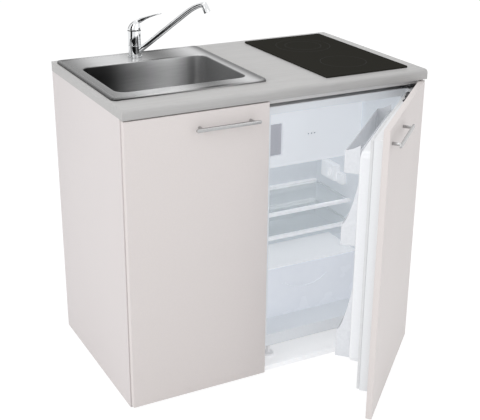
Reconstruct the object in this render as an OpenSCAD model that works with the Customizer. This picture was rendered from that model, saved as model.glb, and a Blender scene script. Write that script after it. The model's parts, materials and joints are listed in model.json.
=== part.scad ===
// Kitchenette unit: a one metre cabinet with a sink and mixer tap, a two-zone hob and a built-in
// refrigerator behind the wider door, which stands ajar. Millimetres, +Z up, floor at Z = 0,
// X = 0 and Y = 0 at the middle of the worktop, front towards -Y.

/* [Cabinet] */
// Overall width, across the worktop
unit_w = 1000; // [980:5:1060]
// Overall depth, across the worktop
unit_d = 600; // [590:5:640]
// Height of the worktop's top face above the floor
unit_h = 929; // [915:1:960]
// Thickness of the side panels, partition, base board and rails
board_t = 16; // [15:0.5:18]
// Clear width of the cupboard under the sink
sink_bay_w = 426; // [422:1:436]
// Distance from the worktop's front edge back to the front edges of the boards
front_setback = 21; // [20:0.5:26]
// Distance from the worktop's back edge forward to the back edges of the boards
back_setback = 2; // [0:0.5:6]
// Gap between the front rails and the hob's casing
rail_gap = 5.9; // [4:0.1:15]
// Height of the rear rail behind the refrigerator
rear_rail_h = 79; // [50:1:85]
// Gap between the rear rail and the hob's cable gland, which passes over it
rear_rail_gap = 5; // [4:0.5:10]
// Thickness of the cupboard's back panel
back_panel_t = 3; // [2.5:0.5:4]
// Distance from the boards' back edges forward to the back panel
back_panel_inset = 5; // [3:0.5:8]
// Width of the service opening in the back panel
service_w = 280; // [200:5:320]
// Height of the service opening in the back panel
service_h = 380; // [330:5:400]
// Height of the service opening's lower edge above the floor
service_z = 380; // [340:5:400]
// Clearance round the bowl in the notch of the partition
notch_gap = 10; // [8:1:14]

/* [Worktop] */
// Thickness of the worktop
worktop_t = 30; // [28:1:38]
// Radius of the rolled front edge
edge_r = 11; // [5:0.5:13]

/* [Corner brackets] */
// Width of a bracket that holds the worktop
bracket_w = 24; // [18:1:30]
// Length of each leg of a bracket
bracket_leg = 19; // [15:1:20]
// Thickness of a bracket's steel
bracket_t = 2; // [1.5:0.25:2.5]
// Radius of a bracket screw's shank
screw_r = 1.8; // [1.5:0.1:2.2]
// Length of a bracket screw in the board
screw_len = 11; // [8:0.5:13]

/* [Doors] */
// Thickness of the door panels
door_t = 18; // [16:0.5:19]
// Gap between the closed doors and the boards' front edges
door_gap = 1; // [0.8:0.1:2]
// Gap between a door's outer edge and the side of the unit
door_side_gap = 3; // [2:0.5:5]
// How far each door laps over the partition
door_lap = 6; // [5:0.5:6.5]
// Height of the doors' lower edge above the floor
door_low = 7.5; // [5:0.5:12]
// Gap between the doors' upper edge and the worktop
door_top_gap = 4; // [3:0.5:8]
// Distance of a door's turning axis from the door's outer edge
pivot_inset = 3; // [2:0.5:4]
// Angle at which the wide door stands open
open_angle = 43.3; // [20:0.1:60]

/* [Door hinges] */
// Height of the lower cup hinges above the floor
hinge_low = 150; // [145:1:200]
// Distance of the upper cup hinges below the worktop
hinge_drop = 130; // [100:1:180]
// Radius of a hinge cup
cup_r = 17.5; // [13:0.5:17.5]
// Depth of a hinge cup in the door
cup_depth = 11.5; // [10:0.5:13]
// Distance from the door's outer edge to the cup
cup_edge = 5; // [4:0.5:6]
// Height of a hinge's flange and mounting plate
hinge_h = 50; // [40:1:60]
// Length of a hinge arm along the side panel
arm_len = 29; // [24:1:30]

/* [Handles] */
// Length of a handle's bar
handle_len = 202; // [180:1:220]
// Distance between a handle's two legs
leg_pitch = 160; // [128:1:170]
// How far a handle stands out from the door
handle_out = 30; // [25:1:36]
// Height of the handle bar's face
bar_h = 10; // [8:0.5:14]
// Thickness of the handle bar
bar_t = 6; // [4:0.5:8]
// Radius of a handle's leg
leg_r = 4.5; // [3:0.5:5]
// Distance from the worktop's underside down to the handles' middle
handle_drop = 49; // [40:1:90]
// Distance from the narrow door's free edge to its handle's middle
left_handle_in = 142; // [115:1:200]
// Distance from the wide door's free edge to its handle's middle
right_handle_in = 112; // [104:1:260]

/* [Sink] */
// Width of the sink's rim
sink_w = 482; // [476:1:486]
// Depth of the sink's rim, front to back
sink_d = 490; // [480:1:500]
// Distance from the worktop's left edge to the rim
sink_side_in = 8; // [6:0.5:10]
// Distance from the worktop's back edge to the rim
sink_back_in = 20; // [14:1:24]
// Height of the rim above the worktop
rim_h = 7; // [5:0.5:9]
// Width of the raised lip round the rim
lip_w = 12; // [9:0.5:15]
// How far the deck lies below the lip
lip_step = 1.5; // [1:0.1:2]
// Thickness of the pressed steel
sink_t = 1; // [0.8:0.1:1.2]
// Corner radius of the rim
rim_r = 16; // [12:1:20]
// How far the worktop's opening lies inside the rim
sink_lap = 14; // [11:0.5:16]
// Distance from the bowl to the rim's right edge
bowl_right = 33; // [33:1:44]
// Distance from the bowl to the rim's back edge
bowl_back = 117; // [109:1:134]
// Distance from the rim's left edge to the bowl
bowl_left = 38; // [37:0.5:40]
// Distance from the rim's front edge to the bowl
bowl_front = 56; // [50:1:60]
// Depth of the bowl below the lip
bowl_h = 150; // [140:1:155]
// Radius of the bowl's corners and of its bottom edge
bowl_r = 32; // [24:1:40]

/* [Drain] */
// Radius of the drain hole in the bowl's bottom
drain_r = 43; // [40:0.5:45]
// Radius of the drain's visible flange
flange_r = 56; // [52:0.5:60]
// Radius of the strainer basket
basket_r = 37; // [34:0.5:38]
// Depth of the drain housing under the bowl
drain_depth = 48; // [42:1:55]
// Outer radius of the waste pipe
waste_r = 20; // [16:0.5:25]
// Wall of the waste pipe
waste_wall = 2; // [1.5:0.25:2.5]
// Length of the pipe from the drain down to the trap
tail_len = 90; // [80:1:110]
// Radius of the bottle trap
trap_r = 36; // [33:1:40]
// Height of the trap's body
trap_h = 80; // [75:1:100]
// Height of the cup screwed to the trap
trap_cup_h = 46; // [36:1:60]
// Radius of the overflow pipe
overflow_r = 9; // [7:0.5:9]
// How far the overflow lies below the lip
overflow_drop = 40; // [36:1:50]

/* [Tap] */
// Distance from the rim's back edge to the tap's axis
tap_back_in = 52; // [44:1:54]
// Radius of the tap's body
tap_r = 21; // [19:0.5:23]
// Radius of the tap's inner core
core_r = 14; // [12:0.5:15]
// Radius of the threaded shank under the deck
shank_r = 16; // [15:0.5:17]
// Length of the shank under the deck
shank_len = 30; // [24:1:34]
// Thickness of the tap's nut
nut_t = 10; // [8:0.5:12]
// Height of the ring on which the tap stands
ring_h = 3.5; // [2:0.5:5]
// Height of the turning collar that carries the spout
collar_h = 33; // [30:0.5:36]
// Height of the fixed body above the collar
upper_h = 48; // [44:0.5:54]
// Height of the turning head
head_h = 34; // [31:0.5:38]
// Radius of the spout's tube
spout_r = 9; // [7:0.5:10]
// Height of the spout's root above the deck
spout_root = 7; // [6:0.5:8]
// Angle at which the spout rises
spout_rise = 39; // [37:0.5:41]
// Length of the spout's straight run
spout_run = 270.5; // [240:0.5:290]
// Radius of the bend at the spout's end
bend_r = 16; // [14:0.5:22]
// Angle below level at which the outlet points
outlet_dip = 62; // [50:1:75]
// Radius of the aerator
aerator_r = 11; // [10:0.5:12]
// Length of the aerator
aerator_len = 20; // [16:0.5:24]
// Direction of the spout and lever, from +X towards the front
tap_aim = 45; // [30:1:60]
// Length of the lever from the tap's axis
lever_len = 98; // [80:1:110]
// Angle at which the lever rises when the tap is shut
lever_rise = 20; // [16:0.5:22]
// Width of the lever
lever_w = 11; // [9:0.5:13]
// Thickness of the lever
lever_t = 6; // [5:0.5:7]
// Distance between the two supply pipes
supply_pitch = 14; // [12:0.5:16]
// Radius of a supply pipe
supply_r = 5; // [4:0.25:5.5]
// Length of the supply pipes
supply_len = 230; // [200:5:245]

/* [Hob] */
// Width of the hob's glass
hob_w = 295.5; // [290:0.5:300]
// Depth of the hob's glass, front to back
hob_d = 521; // [510:1:524]
// Distance from the worktop's right edge to the glass
hob_side_in = 41.5; // [40:0.5:48]
// Distance from the worktop's back edge to the glass
hob_back_in = 34; // [32:1:40]
// Thickness of the glass
glass_t = 5; // [4:0.5:6]
// Thickness of the seal under the glass
hob_seal_t = 0.5; // [0.5:0.1:1]
// Corner radius of the glass
glass_r = 6; // [4:0.5:9]
// Width of the opening in the worktop
hob_cut_w = 270; // [266:1:275]
// Depth of the opening in the worktop, front to back
hob_cut_d = 490; // [485:1:495]
// Depth of the casing below the worktop's top face
casing_h = 44; // [40:1:50]
// Clearance between the casing and the opening
casing_gap = 1.4; // [1:0.1:2]
// Radius of the large heater
heater_big = 90; // [85:1:95]
// Radius of the small heater
heater_small = 72; // [68:1:78]
// Height of a heater
heater_h = 26; // [22:1:30]

/* [Refrigerator] */
// Gap between the refrigerator and the boards beside it
fridge_gap = 3; // [2:0.5:4]
// Distance from the boards' front edges back to the refrigerator
fridge_set = 34.5; // [34.5:0.5:37]
// Depth of the refrigerator's case
fridge_d = 516.5; // [510:0.5:518]
// Height of the refrigerator's feet
foot_h = 49; // [40:1:52]
// Height of the refrigerator's case
fridge_h = 797; // [790:1:800]
// Thickness of the case's steel
skin_t = 1.5; // [1:0.1:2]
// Thickness of the plastic liner
liner_t = 2; // [1.5:0.1:2.5]
// Width of the case's front frame on the left
frame_left = 22; // [20:0.5:22]
// Width of the case's front frame on the right
frame_right = 33; // [30:0.5:34]
// Height of the case's front frame at the bottom
frame_low = 42; // [40:1:48]
// Height of the case's front frame at the top
frame_top = 25; // [22:0.5:28]
// Thickness of the back wall, from the liner to the case's back
rear_wall = 42; // [38:1:48]
// Depth of the step in the liner over the compressor
hump_d = 200; // [195:1:205]
// Height of the step in the liner over the compressor
hump_h = 163; // [160:1:168]
// Thickness of the insulation between the step and the compressor
hump_wall = 42; // [38:1:46]

/* [Inside the refrigerator] */
// Height of the upper shelf above the cavity's floor
shelf_high = 296; // [285:1:310]
// Height of the lower shelf above the cavity's floor
shelf_low = 219; // [210:1:228]
// Thickness of a glass shelf
shelf_t = 4; // [3:0.5:5]
// Distance from the case's front to the upper shelf
shelf_high_in = 245; // [240:1:255]
// Distance from the case's front to the lower shelf
shelf_low_in = 227; // [222:1:235]
// Height of a shelf's front trim
trim_h = 9.5; // [8:0.5:11]
// Depth of a shelf's front trim
trim_d = 14; // [11:0.5:18]
// Height of the freezer's floor above the cavity's floor
freezer_z = 476; // [470:1:485]
// Thickness of the freezer's floor
freezer_floor = 14; // [12:0.5:18]
// Distance from the case's front to the freezer's flap
flap_in = 194.5; // [190:0.5:200]
// Thickness of the freezer's flap
flap_t = 18; // [14:0.5:20]
// Gap round the freezer's flap
flap_gap = 4; // [3.5:0.5:5]
// Room at the right of the crisper, beside its cover's leg
crisper_room = 70; // [66:1:81]
// Depth of the crisper at its rim
crisper_d = 146; // [138:1:150]
// Height of the crisper
crisper_h = 168; // [160:1:168]
// Wall of the crisper
crisper_wall = 2.5; // [2:0.25:3]
// How far the crisper's front leans out at the bottom
crisper_lean = 12; // [6:1:14]
// Thickness of the crisper's cover
cover_t = 4; // [3:0.5:5]
// Width of the thermostat housing along the wall
thermo_len = 89; // [80:1:95]
// Height of the thermostat housing
thermo_h = 54; // [48:1:60]
// Depth of the thermostat housing from the wall
thermo_out = 26; // [20:1:30]
// Radius of the thermostat's knob
knob_r = 14; // [11:0.5:16]
// Radius of the compressor
pot_r = 70; // [60:1:74]
// Number of passes of the condenser's tube
condenser_rows = 14; // [10:1:16]

/* [Refrigerator door] */
// Gap from the bay's left edge to the refrigerator's door
fdoor_left_in = 6; // [5:0.5:7]
// Gap from the bay's right edge to the refrigerator's door
fdoor_right_in = 22; // [21:0.5:25]
// Distance from the case's lower edge up to the door's
fdoor_low_in = 27; // [22:1:30]
// Thickness of the refrigerator's door without its gasket
fdoor_t = 26; // [24:0.5:26]
// Thickness of the gasket
gasket_t = 9; // [7:0.5:9]
// Width of the gasket
gasket_w = 14; // [11:0.5:16]
// How far the liner stands out behind the gasket
ridge_t = 34; // [28:1:36]
// Depth of a door bin, front to back
bin_d = 43; // [36:1:44]
// Wall of a door bin
bin_wall = 2.5; // [2:0.25:3]
// Height of the upper bin
upper_bin_h = 65; // [55:1:75]
// Height of the middle bin
middle_bin_h = 62; // [55:1:75]
// Height of the bottle rack
rack_h = 85; // [75:1:95]

/* [Hidden] */
$fn = 48;
EPS = 0.5;

// Outer limits of the worktop
left = -unit_w / 2;
right = unit_w / 2;
front = -unit_d / 2;
back = unit_d / 2;
panel_top = unit_h - worktop_t;
left_in = left + board_t;
right_in = right - board_t;
board_front = front + front_setback;
board_back = back - back_setback;
part_x0 = left_in + sink_bay_w;
part_x1 = part_x0 + board_t;

// Doors and their turning axes
door_back = board_front - door_gap;
door_front = door_back - door_t;
door_top = panel_top - door_top_gap;
left_door_x = [left + door_side_gap, part_x0 + door_lap];
right_door_x = [part_x1 - door_lap, right - door_side_gap];
left_pivot = [left_door_x[0] + pivot_inset, door_front, 0];
right_pivot = [right_door_x[1] - pivot_inset, door_front, 0];
hinge_zs = [hinge_low, panel_top - hinge_drop];
flange_w = 29;
flange_t = 0.7;
handle_z = panel_top - handle_drop;

// Sink
sink_x = [left + sink_side_in, left + sink_side_in + sink_w];
sink_y = [back - sink_back_in - sink_d, back - sink_back_in];
sink_cut_r = 12;
lip_z = unit_h + rim_h;
deck_z = lip_z - lip_step;
bowl_x = [sink_x[0] + bowl_left, sink_x[1] - bowl_right];
bowl_y = [sink_y[0] + bowl_front, sink_y[1] - bowl_back];
bowl_z = lip_z - bowl_h;
drain_x = (bowl_x[0] + bowl_x[1]) / 2;
drain_y = (bowl_y[0] + bowl_y[1]) / 2;
drain_low = bowl_z - drain_depth;
tail_r = waste_r + 3;
trap_top = drain_low - tail_len;
trap_low = trap_top - trap_h;
outlet_z = trap_top - 30;
clip_xs = [bowl_x[0] + 52, (bowl_x[0] + bowl_x[1]) / 2, bowl_x[1] - 52];
clip_w = 16;
clip_foot = 6;

// Tap
tap_x = drain_x;
tap_y = sink_y[1] - tap_back_in;
ring_top = deck_z + ring_h;
collar_top = ring_top + collar_h;
upper_top = collar_top + upper_h;
head_top = upper_top + head_h;
turn_gap = 0.3;
bend_step = 0.15; // the bend is drawn this much finer than the straight run
lever_z = head_top - 11;

// Hob
hob_x = [right - hob_side_in - hob_w, right - hob_side_in];
hob_y = [back - hob_back_in - hob_d, back - hob_back_in];
hob_mid = [(hob_x[0] + hob_x[1]) / 2, (hob_y[0] + hob_y[1]) / 2];
glass_z = unit_h + hob_seal_t;
casing_w = hob_cut_w - 2 * casing_gap;
casing_d = hob_cut_d - 2 * casing_gap;
casing_low = unit_h - casing_h;
casing_x = [hob_mid[0] - casing_w / 2, hob_mid[0] + casing_w / 2];
casing_y = [hob_mid[1] - casing_d / 2, hob_mid[1] + casing_d / 2];
terminal_h = 16;
gland_r = 7;
gland_z = casing_low - terminal_h / 2;
rear_rail_top = gland_z - gland_r - rear_rail_gap;

// Refrigerator
case_x = [part_x1 + fridge_gap, right_in - fridge_gap];
case_y = [board_front + fridge_set, board_front + fridge_set + fridge_d];
case_z = [board_t + foot_h, board_t + foot_h + fridge_h];
cav_x = [case_x[0] + frame_left, case_x[1] - frame_right];
cav_z = [case_z[0] + frame_low, case_z[1] - frame_top];
cav_back = case_y[1] - rear_wall;
hump_y = cav_back - hump_d;
hump_z = cav_z[0] + hump_h;
mach_y = hump_y + hump_wall;
mach_z = hump_z - hump_wall;
rib_w = 6;
rib_h = 5;
shelf_zs = [cav_z[0] + shelf_high, cav_z[0] + shelf_low];
shelf_ys = [case_y[0] + shelf_high_in, case_y[0] + shelf_low_in];
flap_y = case_y[0] + flap_in;
freezer_y = flap_y + flap_t + 2.5;
freezer_top = cav_z[0] + freezer_z + freezer_floor;
flap_x = [cav_x[0] + flap_gap, cav_x[1] - 9];
flap_z = [freezer_top + 3, cav_z[1] - flap_gap];
flap_pivot = [flap_x[1] - 4, flap_y + 4];
flap_pin_r = 2.5;
lug_w = 20;
crisper_x = [cav_x[0] + 4, cav_x[1] - crisper_room];
crisper_w = crisper_x[1] - crisper_x[0];
crisper_y = [hump_y - 22 - crisper_d, hump_y - 22];
crisper_z = [cav_z[0] + 0.5, cav_z[0] + 0.5 + crisper_h];
thermo_y = [cav_back - 69 - thermo_len, cav_back - 69];
thermo_z = [cav_z[0] + 345, cav_z[0] + 345 + thermo_h];
knob_y = thermo_y[0] + 28;
knob_z = (thermo_z[0] + thermo_z[1]) / 2;
pot_x = case_x[1] - 150;
pot_y = (mach_y + case_y[1]) / 2;
pot_low = case_z[0] + skin_t + 10;
condenser_y = case_y[1] + 5;
condenser_x = [case_x[0] + 40, case_x[1] - 40];
condenser_z = [case_z[0] + 200, case_z[1] - 65];

// Refrigerator's door, in the closed place
fdoor_x = [part_x1 + fdoor_left_in, right_in - fdoor_right_in];
fdoor_z = [case_z[0] + fdoor_low_in, case_z[1]];
fdoor_back = door_back + fdoor_t;
ridge_back = fdoor_back + gasket_t + ridge_t;
ridge_x = [cav_x[0] + 7.5, cav_x[1] - 8];
ridge_z = [cav_z[0] + 53, cav_z[1] - 22];
bin_x = [ridge_x[0] + 12, ridge_x[1] - 10];
upper_bin_z = ridge_z[1] - 5 - upper_bin_h;
middle_bin_z = upper_bin_z - 215;
rack_z = ridge_z[0] + 12;
fhinge_h = 24;
fhinge_zs = [fdoor_z[0] + 1, fdoor_z[1] - fhinge_h];

// ---- Shapes that repeat ----------------------------------------------------------------------

// A box between two limits on each axis
module block(x, y, z) {
    translate([x[0], y[0], z[0]])
        cube([x[1] - x[0], y[1] - y[0], z[1] - z[0]]);
}

// A rectangle with round corners
module round_rect(x, y, r) {
    translate([x[0] + r, y[0]]) square([x[1] - x[0] - 2 * r, y[1] - y[0]]);
    translate([x[0], y[0] + r]) square([x[1] - x[0], y[1] - y[0] - 2 * r]);
    for (cx = [x[0] + r, x[1] - r], cy = [y[0] + r, y[1] - r])
        translate([cx, cy]) circle(r);
}

// A box with round upright edges
module round_block(x, y, z, r) {
    translate([0, 0, z[0]])
        linear_extrude(z[1] - z[0]) round_rect(x, y, r);
}

// Rods along the three axes
module rod_x(x, y, z, r) {
    translate([x[0], y, z]) rotate([0, 90, 0]) cylinder(h = x[1] - x[0], r = r);
}
module rod_y(x, y, z, r) {
    translate([x, y[0], z]) rotate([-90, 0, 0]) cylinder(h = y[1] - y[0], r = r);
}
module rod_z(x, y, z, r) {
    translate([x, y, z[0]]) cylinder(h = z[1] - z[0], r = r);
}

// A basin-shaped solid: round upright edges and a round bottom edge of the same radius
module basin(x, y, z, r) {
    inner_x = [x[0] + r, x[1] - r];
    inner_y = [y[0] + r, y[1] - r];
    round_block(x, y, [z[0] + r, z[1]], r);
    block(inner_x, inner_y, [z[0], z[1]]);
    for (cy = inner_y) rod_x(inner_x, cy, z[0] + r, r);
    for (cx = inner_x) rod_y(cx, inner_y, z[0] + r, r);
    for (cx = inner_x, cy = inner_y)
        translate([cx, cy, z[0] + r]) sphere(r);
}

// An open tray: walls all round, a floor, no top
module tray(x, y, z, wall) {
    difference() {
        block(x, y, z);
        block([x[0] + wall, x[1] - wall], [y[0] + wall, y[1] - wall], [z[0] + wall, z[1] + 1]);
    }
}

// Limits moved out by g on both sides
function grow(v, g) = [v[0] - g, v[1] + g];

// The wide door and all that turns with it, swung open about its pivot
module swung_open() {
    translate(right_pivot) rotate([0, 0, open_angle]) translate(-right_pivot) children();
}

// ---- Cabinet ---------------------------------------------------------------------------------

// Puts its children at each corner bracket, with X pointing away from the board
module at_brackets() {
    for (place = [[left_in, 1], [part_x0, -1], [part_x1, 1], [right_in, -1]],
         y = [casing_y[0] - rail_gap + bracket_w, board_back - 31])
        translate([place[0], y, panel_top]) mirror([place[1] < 0 ? 1 : 0, 0, 0]) children();
}

// One bracket: a leg on the board and a leg under the worktop
module bracket() {
    half = bracket_w / 2;
    difference() {
        union() {
            block([0, bracket_t], [-half, half], [-bracket_leg, 0]);
            block([0, bracket_leg], [-half, half], [-bracket_t, 0]);
        }
        bracket_screw_pair(false);
    }
}

// The two screws of one bracket, up into the worktop and sideways into the board
module bracket_screw_pair(with_head) {
    mid = bracket_leg * 0.58;
    head_t = 1.6;
    rod_z(mid, 0, [-bracket_t, screw_len], screw_r);
    rod_x([-screw_len, bracket_t], 0, -mid, screw_r);
    if (with_head) {
        rod_z(mid, 0, [-bracket_t - head_t, -bracket_t], 2 * screw_r);
        rod_x([bracket_t, bracket_t + head_t], 0, -mid, 2 * screw_r);
    }
}

module worktop() {
    color("#c4c2bf") difference() {
        translate([left, 0, 0]) rotate([90, 0, 90]) linear_extrude(unit_w) worktop_profile();
        round_block(grow(sink_x, -sink_lap), grow(sink_y, -sink_lap),
                    [panel_top - 1, unit_h + 1], sink_cut_r);
        block([hob_mid[0] - hob_cut_w / 2, hob_mid[0] + hob_cut_w / 2],
              [hob_mid[1] - hob_cut_d / 2, hob_mid[1] + hob_cut_d / 2],
              [panel_top - 1, unit_h + 1]);
        at_brackets() bracket_screw_pair(false);
    }
}

// Section of the worktop, front edge on the left
module worktop_profile() {
    translate([front + edge_r, panel_top]) square([unit_d - edge_r, worktop_t]);
    translate([front, panel_top]) square([2 * edge_r, worktop_t - edge_r]);
    translate([front + edge_r, unit_h - edge_r]) circle(edge_r);
}

// A board with the bracket screws' holes
module board(x, y, z) {
    difference() {
        block(x, y, z);
        at_brackets() bracket_screw_pair(false);
    }
}

module left_side_panel() {
    color("#e2e0df") board([left, left_in], [board_front, board_back], [0, panel_top]);
}

module right_side_panel() {
    color("#e2e0df") board([right_in, right], [board_front, board_back], [0, panel_top]);
}

module partition_panel() {
    color("#e2e0df") difference() {
        board([part_x0, part_x1], [board_front, board_back], [board_t, panel_top]);
        block([part_x0 - 1, part_x1 + 1], grow(bowl_y, notch_gap),
              [bowl_z - notch_gap, panel_top + 1]);
    }
}

module base_board() {
    color("#dddad8") block([left_in, right_in], [board_front, board_back], [0, board_t]);
}

module back_panel() {
    y1 = board_back - back_panel_inset;
    mid = (left_in + part_x0) / 2;
    color("#dddad8") difference() {
        block([left_in, part_x0], [y1 - back_panel_t, y1], [board_t, panel_top]);
        block([mid - service_w / 2, mid + service_w / 2], [y1 - back_panel_t - 1, y1 + 1],
              [service_z, service_z + service_h]);
    }
}

module top_rails() {
    color("#e2e0df") {
        for (bay = [[left_in, part_x0], [part_x1, right_in]])
            block(bay, [board_front, casing_y[0] - rail_gap], [panel_top - board_t, panel_top]);
        block([part_x1, right_in], [board_back - board_t, board_back],
              [rear_rail_top - rear_rail_h, rear_rail_top]);
    }
}

module corner_brackets() {
    color("#b9bcc0") at_brackets() bracket();
}

module bracket_screws() {
    color("#8d9094") at_brackets() bracket_screw_pair(true);
}

// One hinge arm on its plate, on a board's face at X = 0, reaching towards the door
module hinge_arm() {
    plate_t = 2.5;
    half = hinge_h / 2;
    y0 = board_front + 2;
    block([0, plate_t], [y0, y0 + arm_len], [-half, half]);
    difference() {
        block([plate_t, plate_t + 9], [y0 + 1, y0 + arm_len - 2], [-8, 8]);
        rod_x([plate_t + 3, plate_t + 10], y0 + arm_len / 2, 0, 3.2);
    }
}

module hinge_arms() {
    color("#9a9da1") for (z = hinge_zs) {
        translate([left_in, 0, z]) hinge_arm();
        translate([right_in, 0, z]) mirror([1, 0, 0]) hinge_arm();
    }
}

// ---- Doors -----------------------------------------------------------------------------------

// A door panel with bores for its hinge cups at edge_x, which lies towards side
module door_panel(x, edge_x, side) {
    difference() {
        block(x, [door_front, door_back], [door_low, door_top]);
        for (z = hinge_zs)
            rod_y(edge_x - side * (cup_edge + cup_r), [door_back - cup_depth, door_back + 1],
                  z, cup_r);
    }
}

// The cups and flanges of one door's hinges
module hinge_cups(edge_x, side) {
    cup_x = edge_x - side * (cup_edge + cup_r);
    cup_wall = 1.2;
    flange_x = [edge_x - side * 4, edge_x - side * (4 + flange_w)];
    for (z = hinge_zs) difference() {
        union() {
            rod_y(cup_x, [door_back - cup_depth, door_back], z, cup_r);
            block([min(flange_x), max(flange_x)], [door_back, door_back + flange_t],
                  [z - hinge_h / 2, z + hinge_h / 2]);
        }
        rod_y(cup_x, [door_back - cup_depth + cup_wall, door_back + flange_t + 1], z,
              cup_r - cup_wall);
    }
}

// A bar on two legs, centred on x
module door_handle(x) {
    y1 = door_front - handle_out;
    bar_x = [x - handle_len / 2 + bar_h / 2, x + handle_len / 2 - bar_h / 2];
    block(bar_x, [y1, y1 + bar_t], [handle_z - bar_h / 2, handle_z + bar_h / 2]);
    for (end = bar_x) rod_y(end, [y1, y1 + bar_t], handle_z, bar_h / 2);
    for (leg = [x - leg_pitch / 2, x + leg_pitch / 2])
        rod_y(leg, [y1 + bar_t, door_front], handle_z, leg_r);
}

module left_door_panel() {
    color("#d9d6d1") door_panel(left_door_x, left_door_x[0], -1);
}

module left_door_handle() {
    color("#a9aaab") door_handle(left_door_x[1] - left_handle_in);
}

module left_hinge_cups() {
    color("#9a9da1") hinge_cups(left_door_x[0], -1);
}

module right_door_panel() {
    color("#d9d6d1") swung_open() door_panel(right_door_x, right_door_x[1], 1);
}

module right_door_handle() {
    color("#a9aaab") swung_open() door_handle(right_door_x[0] + right_handle_in);
}

module right_hinge_cups() {
    color("#9a9da1") swung_open() hinge_cups(right_door_x[1], 1);
}

// ---- Refrigerator's door ---------------------------------------------------------------------

// Foam inside the shell and the liner's raised part, larger by g on every side but the front
module fdoor_core(g) {
    block(grow(fdoor_x, g - skin_t), [door_back + skin_t, fdoor_back - liner_t],
          grow(fdoor_z, g - skin_t));
    block(grow(ridge_x, g - liner_t), [fdoor_back - liner_t - EPS, ridge_back + g - liner_t],
          grow(ridge_z, g - liner_t));
}

module fridge_door_shell() {
    color("#c9ccd0") swung_open() difference() {
        block(fdoor_x, [door_back, fdoor_back], fdoor_z);
        block(grow(fdoor_x, -skin_t), [door_back + skin_t, fdoor_back + 1],
              grow(fdoor_z, -skin_t));
    }
}

module fridge_door_foam() {
    color("#efe3b8") swung_open() fdoor_core(0);
}

module fridge_door_liner() {
    color("#e6e9ee") swung_open() difference() {
        union() {
            block(grow(fdoor_x, -skin_t), [fdoor_back - liner_t, fdoor_back],
                  grow(fdoor_z, -skin_t));
            block(ridge_x, [fdoor_back - liner_t, ridge_back], ridge_z);
        }
        block(grow(ridge_x, -liner_t), [fdoor_back - liner_t - 1, ridge_back - liner_t],
              grow(ridge_z, -liner_t));
    }
}

module fridge_door_gasket() {
    inset = 2;
    color("#d5d7da") swung_open() difference() {
        block(grow(fdoor_x, -inset), [fdoor_back, fdoor_back + gasket_t], grow(fdoor_z, -inset));
        block(grow(fdoor_x, -inset - gasket_w), [fdoor_back - 1, fdoor_back + gasket_t + 1],
              grow(fdoor_z, -inset - gasket_w));
    }
}

// A bin that hangs on the raised part of the liner
module door_bin(z, h) {
    tray(bin_x, [ridge_back, ridge_back + bin_d], [z, z + h], bin_wall);
}

module upper_door_bin() {
    color("#c3c9d0") swung_open() door_bin(upper_bin_z, upper_bin_h);
}

module middle_door_bin() {
    color("#c3c9d0") swung_open() door_bin(middle_bin_z, middle_bin_h);
}

module bottle_rack() {
    color("#c3c9d0") swung_open() door_bin(rack_z, rack_h);
}

module fridge_door_hinges() {
    color("#5a5a5f") swung_open() for (z = fhinge_zs)
        block([fdoor_x[1], fdoor_x[1] + 18], [door_back + 1, door_back + 16], [z, z + fhinge_h]);
}

// ---- Sink ------------------------------------------------------------------------------------

module sink_bowl() {
    t = sink_t;
    color("#b8bbbe") difference() {
        union() {
            difference() {
                round_block(sink_x, sink_y, [unit_h, lip_z], rim_r);
                round_block(grow(sink_x, -lip_w), grow(sink_y, -lip_w),
                            [deck_z, lip_z + 1], rim_r - lip_w + 2);
                round_block(grow(sink_x, -t), grow(sink_y, -t), [unit_h - 1, deck_z - t], rim_r - t);
                rim_channel(t);
            }
            basin(grow(bowl_x, t), grow(bowl_y, t), [bowl_z - t, deck_z], bowl_r + t);
        }
        basin(bowl_x, bowl_y, [bowl_z, lip_z + 1], bowl_r);
        rod_z(drain_x, drain_y, [bowl_z - 2 * t, bowl_z + 1], drain_r);
        rod_z(tap_x, tap_y, [deck_z - 2 * t, deck_z + 1], shank_r + 0.5);
        rod_x([bowl_x[0] - 2 * t, bowl_x[0] + 1], drain_y, lip_z - overflow_drop, overflow_r + 4);
    }
}

// Hollow under the raised lip
module rim_channel(t) {
    difference() {
        round_block(grow(sink_x, -t), grow(sink_y, -t), [deck_z - t - EPS, lip_z - t], rim_r - t);
        round_block(grow(sink_x, -lip_w + t), grow(sink_y, -lip_w + t),
                    [deck_z - t - 1, lip_z], rim_r - lip_w + 2 + t);
    }
}

module sink_clips() {
    cut_y = grow(sink_y, -sink_lap);
    stem = 5;
    color("#8d9094") for (x = clip_xs, side = [-1, 1]) {
        edge = side < 0 ? cut_y[0] : cut_y[1];
        stem_y = [edge - side * 2, edge - side * (2 + stem)];
        foot_y = [edge + side * 10, edge - side * (2 + stem)];
        block([x - clip_w / 2, x + clip_w / 2], [min(stem_y), max(stem_y)],
              [panel_top - clip_foot, deck_z - sink_t]);
        block([x - clip_w / 2, x + clip_w / 2], [min(foot_y), max(foot_y)],
              [panel_top - clip_foot, panel_top]);
    }
}

module drain_flange() {
    lip_h = 2;
    color("#c4c7ca") difference() {
        union() {
            rod_z(drain_x, drain_y, [bowl_z, bowl_z + lip_h], flange_r);
            rod_z(drain_x, drain_y, [bowl_z - 14, bowl_z], drain_r);
        }
        rod_z(drain_x, drain_y, [bowl_z - 15, bowl_z + lip_h + 1], basket_r + 1.2);
    }
}

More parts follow.
